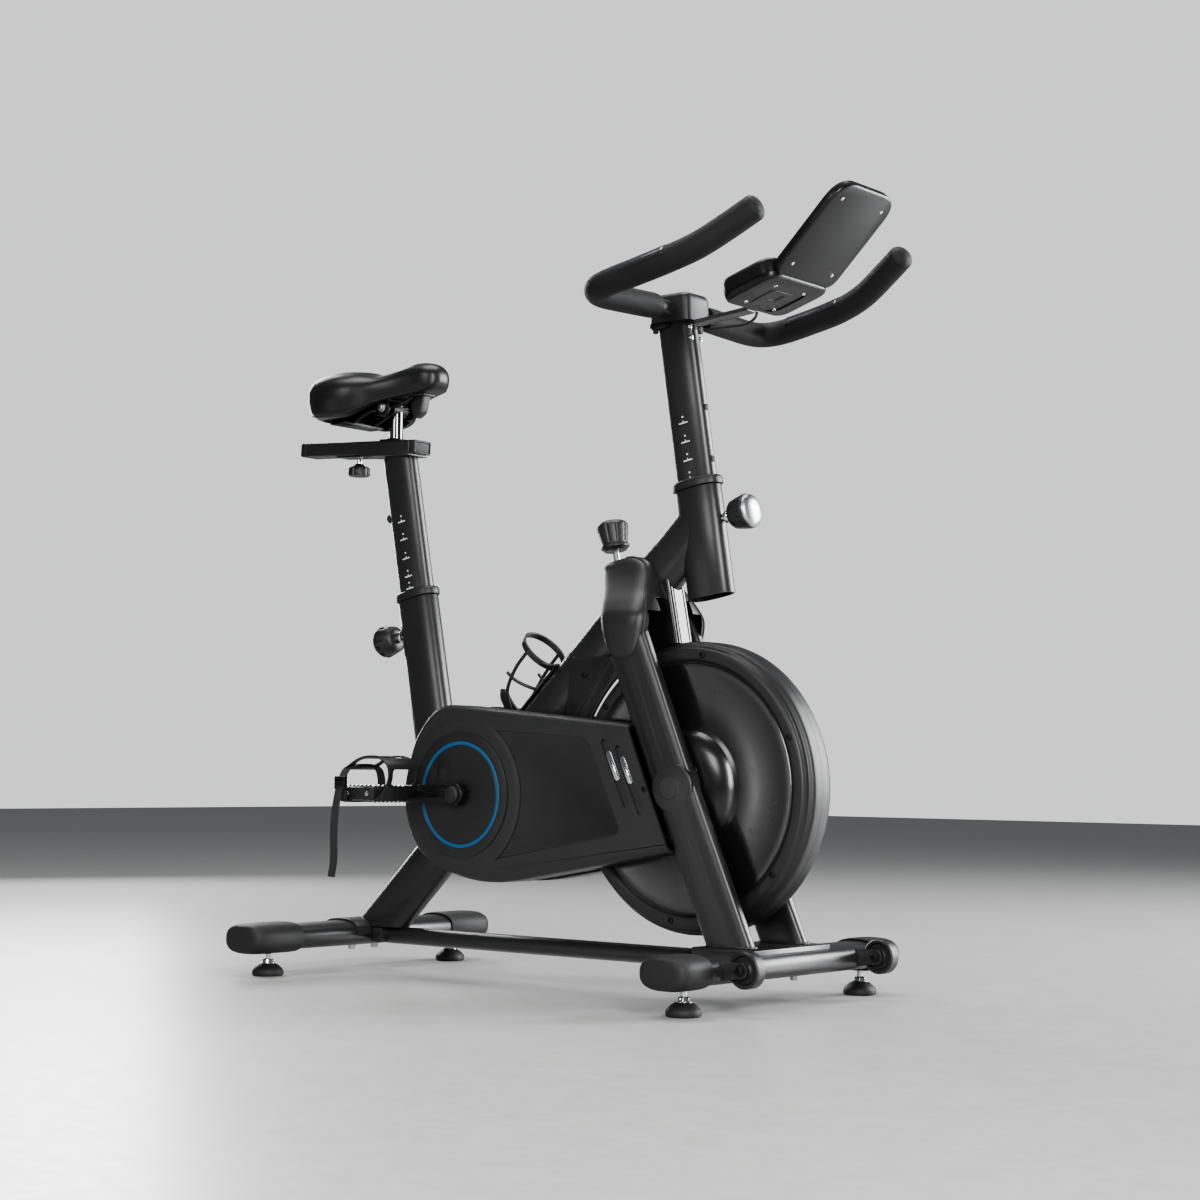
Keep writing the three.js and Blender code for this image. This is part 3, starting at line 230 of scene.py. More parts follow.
def studio():
    """A pale floor and soft light: a bright window side, a dimmer fill and a top light."""
    world = bpy.data.worlds.new("studio")
    world.use_nodes = True
    tree = world.node_tree
    seen = tree.nodes["Background"]
    seen.inputs["Color"].default_value = (0.93, 0.94, 0.95, 1)
    seen.inputs["Strength"].default_value = 0.9
    dim = tree.nodes.new("ShaderNodeBackground")
    dim.inputs["Color"].default_value = (0.85, 0.87, 0.9, 1)
    dim.inputs["Strength"].default_value = 0.2
    rays = tree.nodes.new("ShaderNodeLightPath")
    mix = tree.nodes.new("ShaderNodeMixShader")
    tree.links.new(rays.outputs["Is Camera Ray"], mix.inputs["Fac"])
    tree.links.new(dim.outputs["Background"], mix.inputs[1])
    tree.links.new(seen.outputs["Background"], mix.inputs[2])
    tree.links.new(mix.outputs["Shader"], tree.nodes["World Output"].inputs["Surface"])
    bpy.context.scene.world = world
    bpy.context.scene.view_settings.look = "AgX - Medium High Contrast"
    area_light("window", (2.4, 3.2, 1.5), (0, 0, 0.5), (1.8, 2.6), 330, (0.97, 0.98, 1))
    area_light("corner", (2.9, -2.1, 1.5), (0.1, 0, 0.5), (0.5, 2.2), 130)
    area_light("front", (0.2, -3.6, 1.9), (0, 0, 0.5), (1.2, 1.2), 45)
    area_light("low_side", (-1.3, -2.6, 0.3), (0.3, 0, 0.3), (0.3, 0.3), 3)
    area_light("top", (-0.2, 0.1, 3.0), (0, 0, 0.4), (2.2, 1.4), 65)
    area_light("back", (-2.8, 1.2, 1.6), (0, 0, 0.6), (0.7, 2.2), 60)
    side = 12
    mesh = bpy.data.meshes.new("floor")
    corners = [(-side, -side, 0), (side, -side, 0), (side, side, 0), (-side, side, 0)]
    mesh.from_pydata(corners, [], [(0, 1, 2, 3)])
    floor = bpy.data.objects.new("floor", mesh)
    bpy.context.scene.collection.objects.link(floor)
    mesh.materials.append(
        surface("pale_floor", (0.44, 0.44, 0.43), 0.34, size=9, depth=0.03, spread=0.08, mottle=0.05)
    )


# ---- mesh helpers ----


def new_object(name, points, faces):
    """A mesh of drawing points, faces wound so that they face outwards."""
    mesh = bpy.data.meshes.new(name)
    mesh.from_pydata([to_row(p) for p in points], [], faces)
    obj = bpy.data.objects.new(name, mesh)
    bpy.context.scene.collection.objects.link(obj)
    return obj


def baked(obj):
    """Turns the object's modifiers into its mesh."""
    graph = bpy.context.evaluated_depsgraph_get()
    mesh = bpy.data.meshes.new_from_object(obj.evaluated_get(graph))
    obj.modifiers.clear()
    old = obj.data
    obj.data = mesh
    bpy.data.meshes.remove(old)
    return obj


def modified(obj, kind, **settings):
    modifier = obj.modifiers.new(kind, kind)
    for name, value in settings.items():
        setattr(modifier, name, value)
    return baked(obj)


def boolean(obj, operation, others):
    for other in others:
        modified(obj, "BOOLEAN", operation=operation, object=other, solver="MANIFOLD")
        bpy.data.objects.remove(other)
    return obj


def cut(obj, *tools):
    return boolean(obj, "DIFFERENCE", tools)


def fused(obj, *others):
    return boolean(obj, "UNION", others)


def bevelled(obj, width, segments=3, angle=35):
    """Rounds every edge sharper than the angle; width in millimetres."""
    return modified(obj, "BEVEL", width=width / 1000, segments=segments, limit_method="ANGLE",
                    angle_limit=math.radians(angle), use_clamp_overlap=True)


def largest(obj):
    """Keeps the biggest of the loose bodies that a cut leaves."""
    shape = bmesh.new()
    shape.from_mesh(obj.data)
    left = set(shape.verts)
    groups = []
    while left:
        group, edge = set(), [left.pop()]
        while edge:
            vertex = edge.pop()
            group.add(vertex)
            near = {e.other_vert(vertex) for e in vertex.link_edges} & left
            left -= near
            edge += near
        groups.append(group)
    groups.sort(key=len, reverse=True)
    bmesh.ops.delete(shape, geom=[v for group in groups[1:] for v in group], context="VERTS")
    shape.to_mesh(obj.data)
    shape.free()
    return obj


def mirrored(obj, name):
    """A copy reflected in the centre plane."""
    mesh = obj.data.copy()
    mesh.transform(Matrix.Scale(-1, 4, (0, 1, 0)))
    mesh.flip_normals()
    twin = bpy.data.objects.new(name, mesh)
    bpy.context.scene.collection.objects.link(twin)
    return twin


def placed(obj, body, material, replaces=(), crease=34):
    """Finishes a piece: shading, material, the body it rides on and the nodes it replaces."""
    obj.data.shade_smooth()
    obj.data.set_sharp_from_angle(angle=math.radians(crease))
    obj.data.materials.clear()
    obj.data.materials.append(MATERIALS[material])
    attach(obj, body)
    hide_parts(*replaces)
    return obj


def rounded(corners, steps=8):
    """Corner points (x, z, radius) as a polygon with rounded corners."""
    points = []
    for i, (x, z, radius) in enumerate(corners):
        ends = []
        for near in (corners[i - 1], corners[(i + 1) % len(corners)]):
            distance = math.hypot(near[0] - x, near[1] - z)
            ends.append((x + (near[0] - x) * radius / distance, z + (near[1] - z) * radius / distance))
        for step in range(steps + 1):
            t = step / steps
            before, here, after = (1 - t) ** 2, 2 * t * (1 - t), t * t
            way = zip(ends[0], (x, z), ends[1])
            points.append(tuple(before * a + here * b + after * c for a, b, c in way))
    return points


def arc(middle, radius, start, end, steps=24):
    """Points on an arc in side view, from one angle to another in degrees."""
    points = []
    for step in range(steps + 1):
        angle = math.radians(start + (end - start) * step / steps)
        points.append((middle[0] + radius * math.cos(angle), middle[1] + radius * math.sin(angle)))
    return points


def signed_area(outline):
    return sum(a[0] * b[1] - b[0] * a[1] for a, b in zip(outline, outline[1:] + outline[:1])) / 2


def plate(name, outline, y_low, y_high):
    """A slab of constant thickness, drawn in side view as (x, z) points."""
    if signed_area(outline) < 0:
        outline = outline[::-1]
    count = len(outline)
    points = [(x, y, z) for y in (y_low, y_high) for x, z in outline]
    faces = [tuple(range(count)), tuple(reversed(range(count, 2 * count)))]
    for i in range(count):
        j = (i + 1) % count
        faces.append((i, i + count, j + count, j))
    return new_object(name, points, faces)


def prism(name, outline, low, high, place):
    """A slab between two levels; place turns an outline point and a level into a drawing point."""
    if signed_area(outline) < 0:
        outline = outline[::-1]
    count = len(outline)
    points = [place(a, b, level) for level in (low, high) for a, b in outline]
    faces = [tuple(reversed(range(count))), tuple(range(count, 2 * count))]
    faces += [(i, (i + 1) % count, (i + 1) % count + count, i + count) for i in range(count)]
    return outward(new_object(name, points, faces))


def floor_plan(name, outline, z_low, z_high):
    """A slab drawn from above as (x, y) points."""
    return prism(name, outline, z_low, z_high, lambda x, y, z: (x, y, z))


def wall(name, outline, x_low, x_high):
    """A slab drawn from the front as (y, z) points."""
    return prism(name, outline, x_low, x_high, lambda y, z, x: (x, y, z))


def inset(outline, distance):
    """The outline moved inwards by a distance."""
    if signed_area(outline) < 0:
        outline = outline[::-1]
    moved = []
    count = len(outline)
    for i, point in enumerate(outline):
        edges = []
        for a, b in ((outline[i - 1], point), (point, outline[(i + 1) % count])):
            edge = Vector((b[0] - a[0], b[1] - a[1]))
            if edge.length > 1e-6:
                edges.append(Vector((-edge.y, edge.x)).normalized())
        normal = (sum(edges, Vector((0, 0)))).normalized()
        stretch = 1 / max(0.5, normal.dot(edges[0]))
        moved.append((point[0] + normal.x * distance * stretch, point[1] + normal.y * distance * stretch))
    return moved


def slanted_slot(middle, length, wide, lean):
    """A round-ended slot outline in side view, along a direction."""
    d = Vector(lean).normalized()
    angle = math.degrees(math.atan2(d.y, d.x))
    top = along(middle, d, length / 2 - wide / 2)
    low = along(middle, d, -(length / 2 - wide / 2))
    return arc(top, wide / 2, angle - 90, angle + 90, 8) + arc(low, wide / 2, angle + 90, angle + 270, 8)


def axes_along(direction, sideways=(0, 1, 0)):
    """Three unit vectors: the direction last, and the sideways one as near as it can be second."""
    w = Vector(direction).normalized()
    u = Vector(sideways).cross(w).normalized()
    return u, w.cross(u), w


def oval(wide, thin, count=48, power=2.5):
    """A crowned oval section, wide along the first axis."""
    points = []
    for i in range(count):
        angle = 2 * math.pi * i / count
        reach = [math.copysign(abs(v) ** (2 / power), v) for v in (math.cos(angle), math.sin(angle))]
        points.append((wide / 2 * reach[0], thin / 2 * reach[1]))
    return points


def loft(name, rings):
    """A skin through rings of equally many drawing points."""
    count = len(rings[0])
    points = [p for ring in rings for p in ring]
    faces = []
    for r in range(len(rings) - 1):
        for i in range(count):
            j = (i + 1) % count
            faces.append((r * count + i, r * count + j, (r + 1) * count + j, (r + 1) * count + i))
    faces.append(tuple(reversed(range(count))))
    faces.append(tuple(range((len(rings) - 1) * count, len(rings) * count)))
    return outward(new_object(name, points, faces))


def bar(name, section, start, end, sideways=(0, 1, 0)):
    """A straight bar of a closed section between two points."""
    u, v, _ = axes_along(Vector(end) - Vector(start), sideways)
    rings = [[tuple(Vector(p) + u * a + v * b) for a, b in section] for p in (start, end)]
    return loft(name, rings)


def flat_bar(name, section, low, high, y=0):
    """A straight bar in the plane at y, between two (x, z) points."""
    return bar(name, section, in_plane(low, y), in_plane(high, y))


def tube(name, wide, thin, low, high, wall=2.5, bevel=1.2, y=0):
    """A hollow oval tube, its rims rounded over."""
    direction = Vector((high[0] - low[0], 0, high[1] - low[1])).normalized()
    past = [(low[0] - direction.x * 5, low[1] - direction.z * 5),
            (high[0] + direction.x * 5, high[1] + direction.z * 5)]
    outside = bevelled(flat_bar(name, oval(wide, thin), low, high, y), bevel, 2, 60)
    return cut(outside, flat_bar(name + "_bore", oval(wide - 2 * wall, thin - 2 * wall), *past, y))


def lathe(name, profile, origin, direction, segments=64):
    """A turned solid: (radius, height) points from the axis, or from a bore, round to the start."""
    u, v, w = axes_along(direction, (0, 1, 0) if abs(Vector(direction).normalized().y) < 0.9 else (1, 0,
                                                                                                   0))
    middle = Vector(origin)
    on_axis = [r < 1e-6 for r, _ in profile]
    points, index = [], []
    for (radius, height), single in zip(profile, on_axis):
        index.append(len(points))
        for s in range(1 if single else segments):
            angle = 2 * math.pi * s / segments
            points.append(tuple(middle + w * height + (u * math.cos(angle) + v * math.sin(angle)) * radius))
    faces = []
    whole = not any(on_axis)
    for i in range(len(profile) if whole else len(profile) - 1):
        k = (i + 1) % len(profile)
        for s in range(segments):
            t = (s + 1) % segments
            a = [index[i]] if on_axis[i] else [index[i] + s, index[i] + t]
            b = [index[k]] if on_axis[k] else [index[k] + t, index[k] + s]
            face = a + b
            if len(face) > 2:
                faces.append(tuple(face))
    return outward(new_object(name, points, faces))


def outward(obj):
    """Turns the faces so that they point out of the solid."""
    shape = bmesh.new()
    shape.from_mesh(obj.data)
    bmesh.ops.recalc_face_normals(shape, faces=shape.faces)
    shape.to_mesh(obj.data)
    shape.free()
    return obj


def disc(name, radius, x, z, y_low, y_high, segments=64):
    profile = [(0, 0), (radius, 0), (radius, y_high - y_low), (0, y_high - y_low)]
    return lathe(name, profile, (x, y_low, z), (0, 1, 0), segments)


def rod(name, radius, start, end, segments=24, end_radius=None):
    length = (Vector(end) - Vector(start)).length
    tip = radius if end_radius is None else end_radius
    return lathe(name, [(0, 0), (radius, 0), (tip, length), (0, length)], start,
                 Vector(end) - Vector(start), segments)


def smooth_path(points, per_span=8):
    """Points on a smooth curve through the given ones."""
    ends = [Vector(p) for p in points]
    ends = [2 * ends[0] - ends[1], *ends, 2 * ends[-1] - ends[-2]]
    path = []
    for i in range(1, len(ends) - 2):
        a, b, c, d = ends[i - 1 : i + 3]
        for step in range(per_span):
            t = step / per_span
            path.append(
                0.5 * (2 * b + (c - a) * t + (2 * a - 5 * b + 4 * c - d) * t * t + (3 * b - a - 3 * c + d)
                       * t**3)
            )
    return [*path, ends[-2]]


def hose(name, path, radii, segments=24, section=None):
    """A skin along a path. radii is one radius, or one for each path point; section is a unit outline."""
    path = [Vector(p) for p in path]
    if not hasattr(radii, "__len__"):
        radii = [radii] * len(path)
    turns = [2 * math.pi * i / segments for i in range(segments)]
    unit = section or [(math.cos(turn), math.sin(turn)) for turn in turns]
    u = None
    rings = []
    for i, (point, radius) in enumerate(zip(path, radii)):
        w = (path[min(i + 1, len(path) - 1)] - path[max(i - 1, 0)]).normalized()
        u = Vector((0.3, 1, 0.2)).cross(w).normalized() if u is None else (u - w * u.dot(w)).normalized()
        v = w.cross(u)
        rings.append([tuple(point + (u * a + v * b) * radius) for a, b in unit])
    return loft(name, rings)


def closed_hose(name, path, section, steady):
    """A skin along a ring of points; the section's second axis lies along the steady direction."""
    count, sides = len(path), len(section)
    points, faces = [], []
    for i, point in enumerate(path):
        run = (path[(i + 1) % count] - path[i - 1]).normalized()
        out = run.cross(steady).normalized()
        points += [tuple(point + out * a + steady * b) for a, b in section]
    for i in range(count):
        k = (i + 1) % count
        for s in range(sides):
            n = (s + 1) % sides
            faces.append((i * sides + s, i * sides + n, k * sides + n, k * sides + s))
    return outward(new_object(name, points, faces))


def ribbon(name, path, width, thickness):
    """A flat strap whose width lies along the bike, following (x, y, z) points."""
    half = width / 2
    rings = []
    for i, point in enumerate(path):
        run = (path[min(i + 1, len(path) - 1)] - path[max(i - 1, 0)]).normalized()
        wide = Vector((1, 0, 0))
        wide = (wide - run * wide.dot(run)).normalized()
        out = run.cross(wide) * thickness / 2
        corners = [-wide * half - out, wide * half - out, wide * half + out, -wide * half + out]
        rings.append([tuple(point + c) for c in corners])
    return loft(name, rings)


def dished(name, outline, levels):
    """A skin through copies of an outline: levels are (y, inset)."""
    rings = []
    for y, distance in levels:
        rings.append([(x, y, z) for x, z in inset(outline, distance)])
    return loft(name, rings)


def smooth_rows(rows, per_span=5):
    """Rows of four numbers, with more rows in between on smooth curves."""
    first = smooth_path([Vector(row[:3]) for row in rows], per_span)
    last = smooth_path([Vector((row[3], 0, 0)) for row in rows], per_span)
    return [(*a, b.x) for a, b in zip(first, last)]


def rod_way(radius):
    """The hole that the brake rod needs."""
    return rod("rod_way", radius, (211.7, 0, 684.5), (254.6, 0, 462.6))


def box(name, low, high, bevel=0.0):
    x0, y0, z0 = low
    x1, y1, z1 = high
    block = plate(name, [(x0, z0), (x1, z0), (x1, z1), (x0, z1)], y0, y1)
    return bevelled(block, bevel, 2) if bevel else block


def hex_bolt(name, origin, direction, radius=6, tall=5, washer=True):
    """A hexagon head on a washer, for a bolt or a nut."""
    profile = [(0, 0), (radius * 1.35, 0), (radius * 1.35, 1), (0, 1)]
    base = lathe(name, profile, origin, direction, 28) if washer else None
    start = Vector(origin) + Vector(direction).normalized() * (0.6 if washer else 0)
    profile = [(0, 0), (radius, 0), (radius, tall - 1), (radius * 0.86, tall), (0, tall)]
    head = lathe(name + "_hex", profile, start, direction, 6)
    if not washer:
        head.name = name
        return head
    return fused(base, head)


def button_screw(name, origin, direction, radius=4.5, tall=2.4):
    """A round-headed screw with a socket in it."""
    profile = [(0, -1), (radius, -1), (radius, tall * 0.3), (radius * 0.86, tall * 0.75),
               (radius * 0.5, tall), (radius * 0.42, tall), (radius * 0.42, tall * 0.35),
               (0, tall * 0.3)]
    return lathe(name, profile, origin, direction, 28)


def fastened(name, spot, direction, body, material, radius=4.5, tall=2.4):
    """A button screw, finished as a piece."""
    placed(button_screw(name, spot, direction, radius, tall), body, material)


def bolted(name, spot, direction, body, material, radius, tall, bevel=0.5):
    """A hexagon bolt or nut, finished as a piece."""
    placed(bevelled(hex_bolt(name, spot, direction, radius, tall), bevel, 2), body, material)


# ---- base ----


def stabilizer_pieces():
    s = STABILIZER
    for end, x in (("rear", s["rear_x"]), ("front", s["front_x"])):
        section = oval(s["deep"], s["tall"])
        body = bar(end + "_stabilizer_tube", section, (x, -s["half"], s["z"]), (x, s["half"], s["z"]),
                   (0, 0, 1))
        if end == "front":
            body = fused(body, fork_plate())
            for side in (-1, 1):
                for edge in (-1, 1):
                    body = fused(body, wheel_arm(x, side * WHEEL["y"] + edge * (WHEEL["width"] / 2 + 3)))
        placed(bevelled(body, 0.8, 2, 50), "frame", "frame_paint", [end + "_stabilizer"])


def fork_plate():
    plate_top = STABILIZER["z"] + STABILIZER["tall"] / 2
    return box("fork_plate", (440, -96, plate_top - 8), (548, 96, plate_top + 2.5), 1.5)


def wheel_arm(x, y):
    outline = [(x + 20, 46), (WHEEL["x"], WHEEL["z"] - 11)]
    outline += arc((WHEEL["x"], WHEEL["z"]), 11, -90, 90, 16)
    outline += [(x + 20, 74)]
    return bevelled(plate("wheel_arm", outline, y - 2, y + 2), 0.6, 2)


def end_cap(name, x, start, foot_y):
    """A moulded cap: a collar lip over the tube, and a swollen bulb with a rounded end."""
    deep, tall, end = 87, 49, 272
    profile = [(start, 0.9), (start, 0.955), (start + 1.5, 0.975), (start + 9, 0.975), (start + 11, 1.0)]
    profile += [(end - 30, 1.0), (end - 18, 0.985), (end - 9, 0.93), (end - 4, 0.85), (end - 1, 0.74),
                (end, 0.6)]
    profile += [(end, 0.3)]
    section = oval(1, 1, 64, 2.6)
    rings = [[(x + a * deep * k, y, STABILIZER["z"] + b * tall * (0.2 + 0.8 * k)) for a, b in section]
             for y, k in profile]
    cap = loft(name, rings)
    hole = oval(STABILIZER["deep"] + 0.8, STABILIZER["tall"] + 0.8)
    cap = cut(cap, bar("socket", hole, (x, start - 2, STABILIZER["z"]), (x, 240.4, STABILIZER["z"]),
                       (0, 0, 1)))
    return cut(cap, rod("stud_hole", 5.4, (x, foot_y, 20), (x, foot_y, 61)))


def levelling_foot(name, x, y):
    """A domed rubber pad with a skirt, on a chrome stud with its nut."""
    profile = [(0, 0), (22, 0), (24.4, 1.2), (25, 3), (25, 7), (24, 9.5), (21, 13), (15.5, 17.6),
               (11, 19.4), (10, 19.8), (0, 19.8)]
    pad = lathe(name + "_pad", profile, (x, y, 0), (0, 0, 1), 72)
    placed(pad, name + "_unit", "rubber", [name])
    threads = [(0, 19)]
    for turn in range(19):
        z = 27 + turn * 1.7
        threads += [(4.3, z), (5.0, z + 0.55), (4.3, z + 1.1)]
    threads += [(0, 62)]
    stud = lathe(name + "_stud", threads, (x, y, 0), (0, 0, 1), 28)
    placed(stud, name + "_unit", "chrome")
    bolted(name + "_nut", (x, y, 19.6), (0, 0, 1), name + "_unit", "chrome", 9, 6.5)


def transport_wheel(name, y, body):
    """A solid wheel with a grooved hub, its bolt and its lock nut."""
    r, half = WHEEL["radius"], WHEEL["width"] / 2
    profile = [(4.2, -half + 2), (9, -half + 0.2), (11, -half + 0.2), (13, -half + 3), (18, -half + 3),
               (20.5, -half), (23.6, -half), (r, -half + 2.2), (r, half - 2.2), (23.6, half),
               (20.5, half), (18, half - 3), (13, half - 3), (11, half - 0.2), (9, half - 0.2),
               (4.2, half - 2)]
    wheel = lathe(name, profile, (WHEEL["x"], y, WHEEL["z"]), (0, 1, 0), 72)
    placed(wheel, body, "shell_plastic", [name])
    for side in (-1, 1):
        face = (WHEEL["x"], y + side * (half + 5), WHEEL["z"])
        end = "in" if side * y < 0 else "out"
        bolted(f"{name}_bolt_{end}", face, (0, side, 0), "frame", "black_steel", 6.2, 5)
    axle = rod(name + "_axle", 4, (WHEEL["x"], y - half - 5, WHEEL["z"]),
               (WHEEL["x"], y + half + 5, WHEEL["z"]))
    placed(axle, "frame", "steel")


def base_pieces():
    stabilizer_pieces()
    s = STABILIZER
    for end, x, start, foot_y in (("rear", s["rear_x"], 172, FOOT["rear_y"]),
                                  ("front", s["front_x"], 206, FOOT["front_y"])):
        left = end_cap(end + "_cap_left_moulding", x, start, foot_y)
        right = mirrored(left, end + "_cap_right_moulding")
        placed(left, "frame", "rubber", [end + "_cap_left"])
        placed(right, "frame", "rubber", [end + "_cap_right"])
        for side, y in (("left", foot_y), ("right", -foot_y)):
            levelling_foot(f"{end}_foot_{side}", x, y)
    transport_wheel("transport_wheel_left", WHEEL["y"], "wheel_l")
    transport_wheel("transport_wheel_right", -WHEEL["y"], "wheel_r")
    rail = rod("base_rail_tube", 14, (-262, 0, 58), (462, 0, 58), 48)
    rail = fused(rail, box("rear_tab", (s["rear_x"] + 40.4, -24, 46), (-256, 24, 70), 2),
                 box("front_tab", (456, -24, 46), (s["front_x"] - 40.4, 24, 70), 2))
    placed(rail, "frame", "frame_paint", ["base_rail"])


# ---- frame ----


def diagonal_tube():
    """The main tube with the bottom bracket shell and the rear saddle bracket welded to it."""
    low = along(MAIN_LOW, MAIN_ALONG, -50)
    head_foot = along(HEAD_TOP, HEAD_UP, -HEAD_LENGTH)
    body = flat_bar("main_tube_body", oval(*TUBE, 64), low, along(MAIN_HIGH, MAIN_ALONG, 40.5))
    rear = STABILIZER["rear_x"]
    base = bar("base", oval(82, 43), (rear, -70, 60), (rear, 70, 60), (0, 0, 1))
    body = cut(body, base, box("under", (-420, -40, -60), (-150, 40, 71.5)),
               tube_way(head_foot, HEAD_TOP, 0.6))
    bracket = bar("bracket", oval(88, 49), (rear, -54, 60), (rear, 54, 60), (0, 0, 1))
    bracket = bevelled(bracket, 1.2, 2, 60)
    inner = bar("inner", oval(80.7, 41.7), (rear, -60, 60), (rear, 60, 60), (0, 0, 1))
    bracket = cut(bracket, inner, box("lower", (-400, -60, 0), (-250, 60, 58)),
                  box("tab", (rear, -25, 0), (rear + 90, 25, 71)))
    body = fused(body, bracket, disc("shell", 24, CRANK["x"], CRANK["z"], -34, 34))
    body = cut(body, disc("shell_bore", 19.5, CRANK["x"], CRANK["z"], -40, 40), rod_way(6.5))
    placed(body, "frame", "frame_paint", ["main_tube"])


def upright_tubes():
    seat_foot = along(SEAT_TOP, SEAT_UP, -400)
    seat = tube("seat_tube_body", *TUBE, seat_foot, SEAT_TOP)
    n = (-MAIN_ALONG[1], MAIN_ALONG[0])
    low = along(MAIN_LOW, MAIN_ALONG, -100)
    upper = along(low, n, TUBE[0] / 2 - 3)
    high = along(MAIN_HIGH, n, TUBE[0] / 2 - 3)
    below = plate("below", [upper, high, (high[0], -300), (upper[0], -300)], -60, 60)
    placed(cut(seat, below, pin_way("seat_pin_way", SEAT_TOP, SEAT_UP, -1)), "frame", "frame_paint",
           ["seat_tube"])
    head = tube("head_tube_body", *TUBE, along(HEAD_TOP, HEAD_UP, -HEAD_LENGTH), HEAD_TOP)
    placed(cut(head, pin_way("head_pin_way", HEAD_TOP, HEAD_UP, 1)), "frame", "frame_paint",
           ["head_tube"])


def pin_way(name, top, up, sign):
    start = along(top, up, -PIN_DROP)
    end = along(start, (up[1] * sign, -up[0] * sign), 70)
    return rod(name, 5.6, in_plane(start), in_plane(end))


def weld(name, points, radius=2.4):
    """A rippled weld bead along a closed or open path."""
    path = smooth_path(points, 6)
    radii = [radius * (1 + 0.12 * math.sin(i * 2.2)) for i in range(len(path))]
    placed(hose(name, path, radii, 12), "frame", "frame_paint")


def bush(name, top, up, node):
    """The moulded bush: a flange with a rolled edge on the rim, and a sleeve down the tube."""
    start = along(top, up, 0.4)
    rings = []
    for height, grow in ((0, -2.5), (0, -0.8), (0.8, 0), (9, 0), (11.5, -0.8), (13.4, -3), (14, -6)):
        spot = along(start, up, height)
        section = oval(COLLAR[0] + 2 * grow, COLLAR[1] + 2 * grow, 64)
        rings.append([(spot[0] + up[1] * a, -b, spot[1] - up[0] * a) for a, b in section])
    flange = loft(name, rings)
    sleeve = flat_bar("sleeve", oval(TUBE[0] - 5.7, TUBE[1] - 5.7, 64), along(top, up, -70),
                      along(top, up, 2))
    bore = flat_bar("bore", oval(POST[0] + 0.8, POST[1] + 0.8, 64), along(top, up, -75),
                    along(top, up, 30))
    sign = -1 if top is SEAT_TOP else 1
    way = flat_bar("way", [(-4.5, -6.5), (4.5, -6.5), (4.5, 6.5), (-4.5, 6.5)],
                   *(along(along(top, up, s), (up[1] * sign, -up[0] * sign), POST[0] / 2 - 1)
                     for s in (-75, 30)))
    body = cut(fused(flange, sleeve), bore, way, pin_way("way", top, up, sign))
    placed(body, "frame", "shell_plastic", [node])


def fork_leg():
    """An upper and a lower tube that meet in a round pad at the axle."""
    wide, thin, y = LEG["wide"], LEG["thin"], LEG["y"]
    section = oval(wide, thin, 48, 3)
    low = along(LEG["foot"], LEG_DOWN, 20)
    upper = flat_bar("fork_leg_left_body", section, KNEE, LEG_SHOULDER, y)
    lower = flat_bar("lower", section, low, KNEE, y)
    pad = bevelled(disc("pad", wide / 2, *KNEE, y - thin / 2, y + thin / 2, 96), 3.4, 4)
    leg = fused(upper, lower, pad)
    leg = cut(leg, box("floor_cut", (380, 40, -20), (600, 90, LEG["foot"][1])),
              disc("axle_bore", AXLE_BORE, AXLE["x"], AXLE["z"], 40, y + thin / 2 - 4))
    return leg


def fork():
    left = fork_leg()
    right = mirrored(left, "fork_leg_right_body")
    placed(left, "frame", "frame_paint", ["fork_leg_left"])
    placed(right, "frame", "frame_paint", ["fork_leg_right"])
    face = LEG["y"] + LEG["thin"] / 2
    for name, side in (("left", 1), ("right", -1)):
        cap = lathe(f"axle_cap_{name}", [(0, -2), (17, -2), (17, 0.2), (16, 0.9), (0, 1.1)],
                    (AXLE["x"], side * face, AXLE["z"]), (0, side, 0), 48)
        placed(cap, "frame", "frame_paint")
        low = along(LEG["foot"], LEG_DOWN, 3)
        ring = oval(LEG["wide"] + 1, LEG["thin"] + 1, 24, 3)
        bead = [(low[0] + a * 1.06, side * LEG["y"] + b, 84.2) for a, b in ring]
        weld(f"fork_weld_{name}", [*bead, bead[0]], 2)


def frame_pieces():
    diagonal_tube()
    upright_tubes()
    bush("seat_bush_moulding", SEAT_TOP, SEAT_UP, "seat_tube_bush")
    bush("head_bush_moulding", HEAD_TOP, HEAD_UP, "head_tube_bush")
    fork()


# ---- covers ----

COVER_OUTLINE = rounded(
    [(-84, 436, 38), (322, 400, 18), (404, 217, 18), (5, 148, 84), (-150, 205, 76), (-146, 366, 52)], 14
)
PANEL_OUTLINE = rounded([(-40, 398, 20), (232, 382, 16), (300, 238, 16), (-20, 180, 30)], 8)


